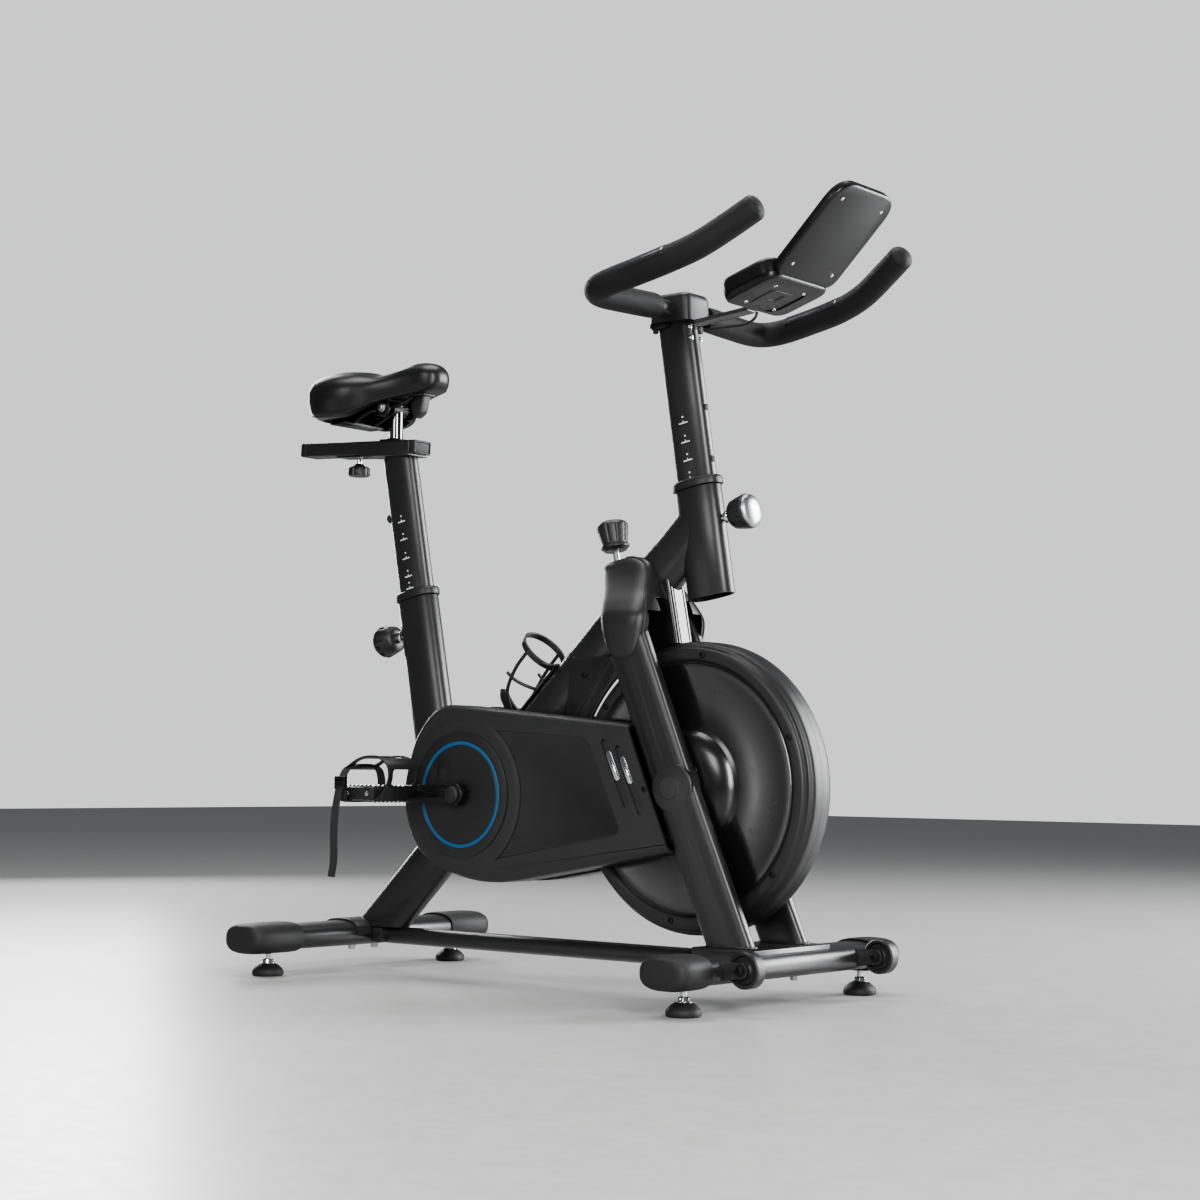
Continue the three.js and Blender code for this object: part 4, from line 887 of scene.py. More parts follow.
def belt_guard(face):
    """The left shell, its face that far out: a rounded shoulder, a rim groove, a boss and a panel."""
    inner = 22
    levels = [(inner, 0), (inner + 6, 0), (inner + 7, 1.2), (inner + 9, 1.2), (inner + 10, 0),
              (face - 10, 0),
              (face - 6.5, 0.9), (face - 3.2, 3.2), (face - 0.9, 6.6), (face, 10.5), (face, 13)]
    shell = dished("belt_guard_left_shell", COVER_OUTLINE, levels)
    boss = lathe("boss", [(0, -4), (123, -4), (123, 0), (119, 0.5), (116.6, 1.4), (115, 1.6), (0, 1.6)],
                 (CRANK["x"], face, CRANK["z"]), (0, 1, 0), 128)
    panel = dished("panel", PANEL_OUTLINE, [(face - 1.6, 1.6), (face - 1.2, 1.1), (face + 2, -0.6)])
    keep = disc("keep", 122.5, CRANK["x"], CRANK["z"], face - 6, face + 6, 128)
    shell = cut(shell, cut(panel, keep))
    shell = fused(shell, boss)
    cavity = dished("cavity", COVER_OUTLINE, [(inner - 5, 3), (face - 10, 3), (face - 4, 8)])
    tools = [cavity, disc("axle_way", 15, CRANK["x"], CRANK["z"], inner - 8, face + 10)]
    for middle in ((286, 328), (313, 318)):
        outline = slanted_slot(middle, 112, 12, VENT_LEAN)
        tools.append(plate("slot", outline, face - 3.2, face + 3))
    return cut(shell, *tools, *guard_clearance())


def wheel_way(grow, y_high):
    """The room that the flywheel guard takes, grown by a clearance."""
    return disc("round", GUARD_RADIUS + grow, AXLE["x"], AXLE["z"], -40, y_high, 128)


def tube_way(low, high, grow):
    """The room that a main frame tube takes, with its section grown in all."""
    return flat_bar("tube_way", oval(TUBE[0] + grow, TUBE[1] + grow), low, high)


def guard_clearance():
    """What the flywheel guard, its hub dome and the fork leg take out of a shell."""
    section = oval(LEG["wide"] + 2.4, LEG["thin"] + 40, 48, 3)
    return [
        wheel_way(1.2, GUARD_HALF + 1.2),
        disc("dome", 87.2, AXLE["x"], AXLE["z"], 0, HUB_FACE + 1.2, 96),
        flat_bar("upper_leg", section, KNEE, LEG["top"], LEG["y"] + 19),
        flat_bar("lower_leg", section, along(LEG["foot"], LEG_DOWN, 20), KNEE, LEG["y"] + 19),
        disc("pad", LEG["wide"] / 2 + 1.2, *KNEE, LEG["y"] - LEG["thin"] / 2 - 1.2, LEG["y"] + 40, 96),
    ]


def guard_trim(name, side, face):
    """A shell's screws and vent inserts, and the crank cover disc with its coloured ring."""
    spots = [(103, 403), (341, 305), (-118, 330), (60, 168), (200, 202), (-110, 240)]
    for number, (x, z) in enumerate(spots):
        spot = (x, side * (face - 0.5 if number == 1 else face - 4), z)
        fastened(f"belt_guard_{name}_screw_{number}", spot, (0, side, 0), "frame", "black_steel")
    for number, (middle, length) in enumerate((((281, 339), 48), ((306.5, 332.5), 44))):
        outline = slanted_slot(middle, length, 10.4, VENT_LEAN)
        low, high = mirrored_span(side, face - 3.4, face - 0.8)
        chip = bevelled(plate(f"vent_insert_{name}_{number}", outline, low, high), 0.8, 2)
        placed(chip, "frame", "chrome", crease=60)
    centre = (CRANK["x"], side * (face + 1.6), CRANK["z"])
    profile = [(15, 0.3), (98, 0.3), (99, 0.8), (99, 2.0), (98.4, 2.35), (84, 2.35), (83.4, 1.7),
               (77.4, 1.7), (76.8, 2.35), (20, 2.35), (17, 1.8), (15, 1.8)]
    cover = lathe(f"crank_disc_{name}", profile, centre, (0, side, 0), 128)
    placed(cover, "frame", "shell_plastic", ["crank_cover"] if side < 0 else [])
    profile = [(77.6, 1.7), (83.2, 1.7), (83.2, 2.2), (82.6, 2.5), (78.2, 2.5), (77.6, 2.2)]
    placed(lathe(f"accent_ring_{name}", profile, centre, (0, side, 0), 128), "frame", "accent")


def belt_guards():
    left = belt_guard(COVER_FACE["left"])
    deeper = belt_guard(COVER_FACE["right"])
    right = mirrored(deeper, "belt_guard_right_shell")
    bpy.data.objects.remove(deeper)
    placed(left, "frame", "guard_plastic", ["belt_guard_left"], 40)
    placed(right, "frame", "guard_plastic", ["belt_guard_right"], 40)
    guard_trim("right", -1, COVER_FACE["right"])
    guard_trim("left", 1, COVER_FACE["left"])


def flywheel_guards():
    """Each half is a dished disc with a hub dome, in a satin rim with a flat screw ring."""
    disc = [(AXLE_BORE, 48), (AXLE_BORE, 50.4), (12, 50.4), (13, 49.6), (40, 50.2), (52, 49.2),
            (64, 46.8), (74, 42.8), (81, 37.6), (84.6, 33.4), (87, 32.6), (90, 31.2), (93, 30.6),
            (130, 30.6), (172, 31.6), (180, 32.6), (183, 32.4), (184, 31.4), (184, 29), (83, 28),
            (72, 41), (42, 47.6)]
    rim = [(184.1, 31), (185, 31), (186.4, 31.8), (188, 34.6), (190, 35.6), (194, 36), (200, 36),
           (204, 35.4), (206.4, 33.4), (207.4, 30), (208.2, 26), (209.4, 23.8), (211.4, 22.6),
           (213.8, 21.2), (215.4, 18.6), (216, 15), (216, 0.3), (213, 0.3), (213, 16), (204, 24),
           (202, 29), (184.1, 29)]
    centre = (AXLE["x"], 0, AXLE["z"])
    belt_way = box("belt_way", (AXLE["x"] - 110, -HUB_FACE + 2, AXLE["z"] - 48),
                   (AXLE["x"] - 22, -GUARD_HALF - 1, AXLE["z"] + 48))
    left = lathe("flywheel_guard_left_disc", disc, centre, (0, 1, 0), 144)
    right = cut(mirrored(left, "flywheel_guard_right_disc"), belt_way)
    left_rim = cut(lathe("flywheel_guard_left_rim", rim, centre, (0, 1, 0), 144), rod_way(7))
    right_rim = mirrored(left_rim, "flywheel_guard_right_rim")
    placed(left, "frame", "gloss_plastic", crease=28)
    placed(right, "frame", "gloss_plastic", crease=28)
    placed(left_rim, "frame", "shell_plastic", ["flywheel_guard_left"], 34)
    placed(right_rim, "frame", "shell_plastic", ["flywheel_guard_right"], 34)
    for name, side in (("left", 1), ("right", -1)):
        for number in range(6):
            angle = math.radians(22 + 60 * number)
            x, z = AXLE["x"] + 196.5 * math.cos(angle), AXLE["z"] + 196.5 * math.sin(angle)
            fastened(f"flywheel_guard_{name}_screw_{number}", (x, side * GUARD_HALF, z), (0, side, 0),
                     "frame", "black_steel", 5)


SHROUD = [(496, 285, 303, 77.5), (500, 270, 316, 81.5), (509, 258, 325, 84.5), (530, 248, 332, 85.5),
          (560, 240, 337, 85), (582, 232, 331, 72), (602, 224, 321, 56), (622, 215, 312, 42),
          (640, 209, 301, 32), (653, 205, 276, 25), (659, 211, 250, 15)]
SHROUD_PIVOT_X = 262


def shroud_tilt(z):
    """The slope of a level of the shroud: level at the bottom, square to the brake rod at the top."""
    return 0.19 * min(max((z - 600) / 60, 0), 1)


def shroud_skin(name, inwards, lower=0.0, count=72):
    """The neck shroud's outer skin, drawn in by a distance; its top is square to the brake rod."""
    rings = []
    for z, rear, front, half in smooth_rows(SHROUD):
        tilt = shroud_tilt(z)
        z = min(z, SHROUD[-1][0] - inwards) - lower
        middle = (rear + front) / 2
        section = oval(front - rear - 2 * inwards, 2 * (half - inwards), count, 4.4)
        rings.append([(middle + a, b, z + tilt * (middle + a - SHROUD_PIVOT_X)) for a, b in section])
    return loft(name, rings)


FAIRING_OUTLINE = rounded([(262, 640, 14), (329, 640, 14), (357, 500, 14), (262, 500, 14)])


def fairing_block(name, grow=0.0):
    side = [(20, 5), (19.5, 2.6), (17.6, 0.8), (15, 0)]
    levels = [(-y - grow, d) for y, d in side] + [(y + grow, d) for y, d in reversed(side)]
    return dished(name, inset(FAIRING_OUTLINE, -grow), levels)


def leg_in_shroud(side):
    """The stretch of a fork leg that stands in the shroud, grown by a clearance."""
    section = oval(LEG["wide"] + 1.6, LEG["thin"] + 1.6, 48, 3)
    return flat_bar("leg", section, KNEE, LEG_SHOULDER, side * LEG["y"])


def shroud_and_fairing():
    high = (MAIN_HIGH[0] + 64, MAIN_HIGH[1] + 61)
    shroud = cut(
        shroud_skin("neck_shroud_shell", 0),
        shroud_skin("inside", 3.2, 1.5),
        box("between", (100, -LEG["y"], 480), (400, LEG["y"], 570)),
        box("front_gap", (262, -40, 480), (400, 40, 590)),
        fairing_block("fairing_way", 1),
        tube_way(MAIN_LOW, high, 2),
        rod_way(7),
        leg_in_shroud(-1),
        leg_in_shroud(1),
    )
    placed(largest(shroud), "frame", "shell_plastic", ["neck_shroud"], 40)
    grooves = [box("groove", (200, y - 1.6, 512), (420, y + 1.6, 632)) for y in (-11, 11)]
    inner = [plate("inner", inset(FAIRING_OUTLINE, 1.8), -30, 30) for _ in grooves]
    grooves = [cut(groove, core) for groove, core in zip(grooves, inner)]
    end = along(MAIN_HIGH, MAIN_ALONG, 100)
    fairing = cut(
        fairing_block("brake_fairing_shell"),
        *grooves,
        wheel_way(1, 40),
        tube_way(MAIN_LOW, high, 2),
        tube_way(along(HEAD_TOP, HEAD_UP, -HEAD_LENGTH), HEAD_TOP, 2),
        plate("above", [MAIN_LOW, end, (end[0], 900), (MAIN_LOW[0], 900)], -60, 60),
    )
    placed(largest(fairing), "frame", "gloss_plastic", ["brake_fairing"], 40)


def cover_pieces():
    belt_guards()
    flywheel_guards()
    shroud_and_fairing()


# ---- seat ----

RAIL_LOW, RAIL_ALONG = (-266, 868.5), (0.9983, -0.0575)
STEM = {"x": -266, "pivot_z": 934}
SADDLE = [(-158, 8, 982, 971), (-160.5, 16, 990, 966), (-167, 23.5, 998, 959), (-180, 30, 1004, 954),
          (-204, 35, 1006, 949), (-236, 45, 999, 944), (-268, 62, 993, 935), (-302, 88, 999, 916),
          (-338, 99, 1003, 909), (-372, 97, 1002, 911), (-396, 80, 994, 921), (-407, 50, 982, 936)]


def rail_point(x, up, y=0):
    """A point over or under the rail's centre line, measured square to it."""
    px, pz = along(RAIL_LOW, RAIL_ALONG, (x - RAIL_LOW[0]) / RAIL_ALONG[0])
    return (px - RAIL_ALONG[1] * up, y, pz + RAIL_ALONG[0] * up)


def rail_bar(name, x0, x1, low, high, half, bevel=0.0):
    corners = [rail_point(x, up) for x, up in ((x0, low), (x1, low), (x1, high), (x0, high))]
    block = plate(name, [(x, z) for x, _, z in corners], -half, half)
    return bevelled(block, bevel, 3) if bevel else block


def saddle_ring(row, count=64, inwards=0.0):
    """The saddle at one x: domed on top, with a squarer skirt and a soft groove along the top."""
    x, half, top, bottom = row
    middle, tall = (top + bottom) / 2, (top - bottom) / 2
    points = []
    for i in range(count):
        angle = 2 * math.pi * i / count
        sine, cosine = math.sin(angle), math.cos(angle)
        power = 0.9 - 0.4 * min(1, max(0, -sine * 2))
        across = math.copysign(abs(cosine) ** power, cosine)
        up = math.copysign(abs(sine) ** power, sine)
        y = (half - inwards) * across
        groove = 5.5 * math.exp(-((y / 11) ** 2)) * (1 if sine > 0 else 0)
        groove *= math.exp(-(((x + 300) / 75) ** 2))
        hollow = 5 * math.exp(-(((x + 262) / 26) ** 2)) * max(0, sine) * (1 - abs(across)) * 0.6
        points.append((x, y, middle + (tall - inwards) * up - groove - hollow))
    return points


def saddle_cushion():
    """The padded cover, hollow underneath for the shell, and its piping."""
    rows = smooth_path([Vector((x, half, top)) for x, half, top, _ in SADDLE], 5)
    lows = smooth_path([Vector((x, bottom, 0)) for x, _, _, bottom in SADDLE], 5)
    rings = [saddle_ring((row.x, max(row.y, 4), row.z, low.y)) for row, low in zip(rows, lows)]
    outline = [(-188, 15), (-230, 29), (-290, 59), (-340, 79), (-385, 67)]
    outline += [(x, -y) for x, y in reversed(outline)]
    cushion = cut(loft("saddle_cushion_pad", rings), floor_plan("pocket", outline, 890, 957.4))
    cushion = modified(cushion, "REMESH", mode="VOXEL", voxel_size=0.0022)
    cushion = modified(cushion, "SMOOTH", factor=0.5, iterations=8)
    placed(cushion, "saddle", "vinyl", ["saddle_cushion"], 60)
    side = []
    for row, low in zip(rows, lows):
        if row.x < -172:
            side.append(Vector((max(row.x, -403.5), row.y * 0.88, low.y + 0.11 * (row.z - low.y))))
    loop = side + [Vector((p.x, -p.y, p.z)) for p in reversed(side)]
    placed(hose("saddle_piping", loop, 1.5, 10), "saddle", "rubber")


def saddle_springs():
    """A coil spring round a rubber buffer on each side, and the rails that the clamp holds."""
    buffer = [(0, 0), (8, 0), (8, 6), (6.6, 9), (8, 12), (6.6, 15), (8, 18), (6.6, 21), (8, 24),
              (8, 31), (0, 31)]
    rail = [(-352, 24, 917), (-334, 24, 921), (-302, 24, 933.6), (-266, 24, 934), (-240, 22, 936),
            (-224, 16, 943), (-215, 12, 951)]
    for side, word in ((-1, "right"), (1, "left")):
        coil = []
        for step in range(5 * 20 + 1):
            turn = 2 * math.pi * step / 20
            x, y = -360 + 11 * math.cos(turn), side * 36 + 11 * math.sin(turn)
            coil.append((x, y, 921 + 28 * step / 100))
        placed(hose("saddle_spring_" + word, coil, 2.2, 10), "saddle", "black_steel")
        core = lathe("saddle_buffer_" + word, buffer, (-360, side * 36, 919.5), (0, 0, 1), 32)
        placed(core, "saddle", "rubber")
        path = smooth_path([(x, side * y, z) for x, y, z in rail], 8)
        placed(hose("saddle_rail_" + word, path, 3.5, 16), "saddle", "black_steel")


def saddle():
    saddle_cushion()
    outline = [(-188, 14), (-230, 28), (-290, 58), (-340, 78), (-384, 66)]
    outline += [(x, -y) for x, y in reversed(outline)]
    shell = bevelled(floor_plan("saddle_shell", outline, 950, 957), 1.6, 2)
    placed(shell, "saddle", "shell_plastic", ["saddle_base"])
    saddle_springs()
    fin = rounded([(-228, 952, 3), (-194, 952, 3), (-202, 922, 6), (-218, 914, 4)], 5)
    placed(bevelled(plate("saddle_nose_bracket", fin, -9, 9), 1.4, 2), "saddle", "shell_plastic")
    placed(box("saddle_bridge", (-376, -48, 912), (-344, 48, 919.6), 1.6), "saddle", "black_steel")


def seat_clamp():
    """The stem's head and the two-bolt clamp that holds the saddle's rails."""
    stem = lathe("saddle_stem_post", [(0, 0), (11.5, 0), (11.5, 62), (10.6, 63), (0, 63)],
                 rail_point(STEM["x"], 12.8), (0, 0, 1), 48)
    placed(stem, "seat_slider", "dark_chrome", ["saddle_stem"])
    head = lathe("saddle_clamp_drum", [(0, 0), (12, 0), (13, 1), (13, 33), (12, 34), (0, 34)],
                 (STEM["x"], -17, STEM["pivot_z"]), (0, 1, 0), 48)
    placed(head, "seat_slider", "black_steel")
    for side, word in ((-1, "right"), (1, "left")):
        ear = lathe("saddle_clamp_ear_" + word, [(0, 0), (15, 0), (15.6, 1), (15.6, 5), (13, 7), (0, 7)],
                    (STEM["x"], side * 28.2, STEM["pivot_z"]), (0, side, 0), 40)
        placed(ear, "saddle", "black_steel")
        bolted("saddle_clamp_nut_" + word, (STEM["x"], side * 35, STEM["pivot_z"]), (0, side, 0),
               "saddle", "steel", 6.5, 5)


def fluted(name, profile, origin, direction, flutes, depth, low, high):
    """A turned knob with hand grooves between two heights."""
    knob = lathe(name, profile, origin, direction, 96)
    u, v, w = axes_along(direction, (0, 1, 0) if abs(Vector(direction).normalized().y) < 0.9 else (1, 0,
                                                                                                   0))
    middle = Vector(origin)
    largest_radius = max(r for r, _ in profile)
    for i in range(flutes):
        angle = 2 * math.pi * i / flutes
        out = (u * math.cos(angle) + v * math.sin(angle)) * (largest_radius + 4.5 - depth)
        knob = cut(knob, rod("flute", 4.5, middle + out + w * low, middle + out + w * high, 20))
    return knob


def pull_knob(name, top, up, outwards, body, cap):
    """A chrome neck in a welded boss, a fluted knob and a domed cap."""
    axis = along(top, up, -PIN_DROP)
    origin, direction = in_plane(axis), in_plane(outwards)
    neck = lathe(name + "_neck", [(0, 36.7), (5, 36.7), (5, 44), (9, 44.3), (9.6, 45.5), (9.6, 50),
                                  (9, 51), (9, 55), (8, 57), (0, 57)], origin, direction, 48)
    placed(neck, body, "chrome", [name])
    grip = fluted(name + "_grip", [(0, 56), (12, 56.2), (18.4, 58), (21.6, 61.6), (24, 72), (26.3, 84),
                                   (26.5, 87), (25.4, 90), (0, 90)], origin, direction, 12, 3, 59, 86)
    placed(grip, body, "shell_plastic", crease=42)
    crown = lathe(name + "_cap", [(0, 88), (24.4, 88), (24.7, 90.4), (23.4, 93), (20, 95.6), (14, 97.6),
                                  (7, 98.7), (0, 99)], origin, direction, 64)
    placed(crown, body, cap)


def scale_marks(name, top, up, heights, body, side_y=-1):
    """A printed scale on a post's side: a dot above a dash with a short tick, for each height."""
    face = side_y * (POST[1] / 2 - 0.15)
    across = (up[1], -up[0])
    for number, z in enumerate(heights):
        middle = along(top, up, (z - top[1]) / up[1])
        for part, (a0, a1, b0, b1) in {
            "dash": (-8, 8, -0.9, 0.9), "tick": (-0.7, 0.7, 0.9, 3.6), "dot": (-1.3, 1.3, 8.2, 10.8),
        }.items():
            corners = []
            for a, b in ((a0, b0), (a1, b0), (a1, b1), (a0, b1)):
                corners.append((middle[0] + across[0] * a + up[0] * b,
                                middle[1] + across[1] * a + up[1] * b))
            low, high = sorted((face, face + side_y * 0.3))
            placed(plate(f"{name}_{part}_{number}", corners, low, high), body, "print")


def seat_column():
    """The seat post with its welded trough and shelf, its printed scale and its stop button."""
    top = along(SEAT_TOP, SEAT_UP, 250)
    column = tube("seat_post_column", *POST, along(top, SEAT_UP, -452), top, 2, 0.8)
    column = cut(column, rail_bar("over", -420, -80, -14.3, 200, 60))
    trough = cut(rail_bar("trough", -328, -213, -14.85, 9.5, 23.35, 1.2),
                 rail_bar("inside", -332, -209, -11.85, 13, 20.35))
    shelf = rail_bar("shelf", -392, -318, -14.85, -11.85, 16.35, 0.6)
    shelf = cut(shelf, rod("knob_way", 6, (-352, 0, 800), (-352, 0, 900)))
    placed(fused(column, trough, shelf), "seat_post_unit", "frame_paint", ["seat_post"], 40)
    scale_marks("seat_scale", SEAT_TOP, SEAT_UP, (741, 711, 679, 649, 629), "seat_post_unit")
    stop = along(along(SEAT_TOP, SEAT_UP, 148), BACKWARDS, POST[0] / 2 - 1)
    button = lathe("seat_stop_button", [(0, 0), (7, 0), (7.5, 1), (7.5, 8), (6, 10), (0, 10.6)],
                   in_plane(stop), in_plane(BACKWARDS), 32)
    placed(button, "seat_post_unit", "rubber")


def seat_rail():
    """The hollow rail that slides in the trough, its end pieces, and the stem's welded foot."""
    rail = cut(rail_bar("seat_rail_box", -478, -202, -11.5, 11.5, 20, 2.2),
               rail_bar("hollow", -474, -190, -8.8, 8.8, 17.2, 1))
    placed(rail, "seat_slider", "shell_plastic", ["seat_rail"])
    placed(rail_bar("seat_rail_plug", -214, -203.5, -8.6, 8.6, 17, 1.4), "seat_slider", "rubber")
    placed(rail_bar("seat_rail_end", -478.6, -462, -11.9, 11.9, 20.4, 3.2), "seat_slider", "shell_plastic")
    placed(rail_bar("stem_base", -290, -242, 11.5, 14.5, 16, 1), "seat_slider", "black_steel")
    ring = []
    for step in range(13):
        x = STEM["x"] + 13 * math.cos(step / 6 * math.pi)
        ring.append((x, 13 * math.sin(step / 6 * math.pi), rail_point(x, 14.6)[2]))
    placed(hose("stem_weld", smooth_path(ring, 5), 1.7, 10), "seat_slider", "black_steel")


def rail_knob():
    under = rail_point(-352, -11.5)
    profile = [(0, 0), (15, 0), (18, 1.2), (19, 4), (18.6, 13), (16, 16), (9, 18.6), (6.4, 22), (0, 22)]
    knob = fluted("seat_rail_knob_grip", profile, (under[0], 0, under[2] - 34.8), (0, 0, 1), 10, 1.8, 1, 15)
    placed(knob, "rail_knob", "shell_plastic", ["seat_rail_knob"], 42)
    stud = rod("seat_rail_stud", 5, (under[0], 0, under[2] - 14), (under[0], 0, under[2] - 0.8), 28)
    placed(stud, "rail_knob", "chrome")


def seat_pieces():
    seat_column()
    seat_rail()
    seat_clamp()
    saddle()
    rail_knob()
    pull_knob("seat_post_knob", SEAT_TOP, SEAT_UP, BACKWARDS, "seat_pull_knob", "shell_plastic")


# ---- handlebar ----

BAR = {"radius": 12.5, "foam": 19.5}
BAR_TOP = along(HEAD_TOP, HEAD_UP, 262)
BAR_PATH = [(338, 0, 1026), (337, 60, 1026), (335, 120, 1024), (336, 180, 1022), (346, 208, 1023),
            (372, 221, 1027), (420, 221, 1035), (480, 219, 1047), (530, 210, 1063), (575, 198, 1087),
            (609, 189, 1107)]
BAR_TIP = Vector((0.84, -0.24, 0.48))


def clamp_cover(name, grow=0.0):
    """The rounded drum over the middle of the bar, open underneath."""
    outline = inset(rounded([(298, 994, 14), (374, 994, 14), (372, 1052, 14), (300, 1052, 14)]), -grow)
    side = [(30, 9), (29.5, 6), (27.5, 3), (24, 1), (19, 0)]
    levels = ([(-y - grow, inwards) for y, inwards in side]
              + [(y + grow, inwards) for y, inwards in reversed(side)])
    return cut(dished(name, outline, levels), box("below", (250, -40, 960), (420, 40, 1008 - grow)))


def handlebar_post():
    foot = along(BAR_TOP, HEAD_UP, -362)
    column = tube("handlebar_post_column", *POST, foot, BAR_TOP, 2, 0.8)
    arm = bevelled(plate("arm", [(352, 1001), (470, 1011), (470, 1017), (352, 1007)], -13, 13), 1.2, 2)
    post = cut(fused(column, arm), rod("crossing", 13.1, (338, -60, 1026), (338, 60, 1026), 48),
               clamp_cover("clamp", 0.5))
    placed(largest(post), "bar_post_unit", "frame_paint", ["handlebar_post"], 40)
    for number, height in enumerate((871, 792)):
        middle = along(along(HEAD_TOP, HEAD_UP, (height - HEAD_TOP[1]) / HEAD_UP[1]), FORWARDS,
                       POST[0] / 2 - 1)
        button = lathe(f"bar_post_button_{number}", [(0, 0), (5, 0), (5, 1.6), (3.6, 2.6), (0, 3)],
                       in_plane(middle), in_plane(FORWARDS), 32)
        placed(button, "bar_post_unit", "rubber")
    scale_marks("bar_scale", HEAD_TOP, HEAD_UP, (853, 824, 796, 768), "bar_post_unit")
    pull_knob("bar_post_knob", HEAD_TOP, HEAD_UP, FORWARDS, "bar_pull_knob", "steel")


def bar_grips():
    """A foam sleeve with a rounded end on each side, and the pulse plate on its outside."""
    sleeve = smooth_path(BAR_PATH[1:], 8)
    radii = [BAR["foam"]] * len(sleeve)
    radii[0], radii[1] = BAR["foam"] - 2, BAR["foam"] - 0.4
    for step in range(1, 9):
        angle = step * math.pi / 17
        sleeve.append(Vector(BAR_PATH[-1]) + BAR_TIP * 13 * math.sin(angle))
        radii.append(BAR["foam"] * math.cos(angle))
    crescent = [(math.cos(a), math.sin(a)) for a in (math.pi + 1.25 * (i / 14 - 1) for i in range(29))]
    crescent += [(0.9 * x, 0.9 * y) for x, y in reversed(crescent)]
    route = [(388, 221, 1029.4), (420, 221, 1035), (452, 220.5, 1041.2), (487, 218.4, 1048.8)]
    sensor_path = smooth_path(route, 8)
    for side, word in ((1, "left"), (-1, "right")):
        grip = hose("grip_foam_" + word, [(p.x, side * p.y, p.z) for p in sleeve], radii, 40)
        placed(grip, "bar_post_unit", "foam", ["grip_" + word], 60)
        path = [(p.x, side * p.y, p.z) for p in sensor_path]
        sensor = hose("pulse_sensor_" + word, path, BAR["foam"] + 0.8, section=crescent)
        placed(bevelled(sensor, 0.4, 2, 50), "bar_post_unit", "sensor")


def bar_pieces():
    """The bent tube with its grips, and the clamp that holds it on the post."""
    half = [(x, -y, z) for x, y, z in BAR_PATH[1:]]
    bend = hose("handlebar_bend", smooth_path([*reversed(half), *BAR_PATH], 8), BAR["radius"], 32)
    placed(bend, "bar_post_unit", "frame_paint", ["handlebar_tube"])
    bar_grips()
    placed(clamp_cover("bar_clamp_shell"), "bar_post_unit", "shell_plastic", ["bar_clamp_cover"], 50)
    placed(box("bar_clamp_bracket", (297, -25, 1001), (331, 25, 1009), 2), "bar_post_unit", "black_steel")
    for number, y in enumerate((-17, 17)):
        bolted(f"bar_clamp_bolt_{number}", (303, y, 1001), (0, 0, -1), "bar_post_unit",
               "black_steel", 4.6, 6, 0.4)
    for number, (y, z) in enumerate(((-11, 1000), (11, 1000), (-11, 983), (11, 983))):
        x = along(HEAD_TOP, HEAD_UP, (z - HEAD_TOP[1]) / HEAD_UP[1])[0] + POST[0] / 2 - 2.6
        fastened(f"bar_front_screw_{number}", (x, y, z), in_plane(FORWARDS), "bar_post_unit",
                 "chrome", 4, 2.6)


# ---- console ----

CONSOLE = {"middle": (510.8, 1042.8), "along": (0.956, 0.292), "long": 100, "wide": 150, "thick": 35}
TABLET = {"foot": (560, 1042), "along": (0.722, 0.692), "long": 168, "wide": 145, "thick": 9}


def slab_point(start, lean, a, y, h):
    """The drawing point at a along a leaning slab, y across it and h above its underside."""
    return (start[0] + lean[0] * a - lean[1] * h, y, start[1] + lean[1] * a + lean[0] * h)


def slab(name, size, start, lean, radius, levels, far_radius=None):
    """A leaning rounded slab; levels are (height, inset) pairs from the underside up."""
    long, wide = size
    far = far_radius or radius
    outline = rounded([(0, -wide / 2, radius), (long, -wide / 2, far), (long, wide / 2, far),
                       (0, wide / 2, radius)])
    rings = [[slab_point(start, lean, a, b, h) for a, b in inset(outline, d)] for h, d in levels]
    return loft(name, rings)


def console_start():
    (x, z), (ax, az) = CONSOLE["middle"], CONSOLE["along"]
    long, thick = CONSOLE["long"], CONSOLE["thick"]
    return (x - ax * long / 2 + az * thick / 2, z - az * long / 2 - ax * thick / 2)


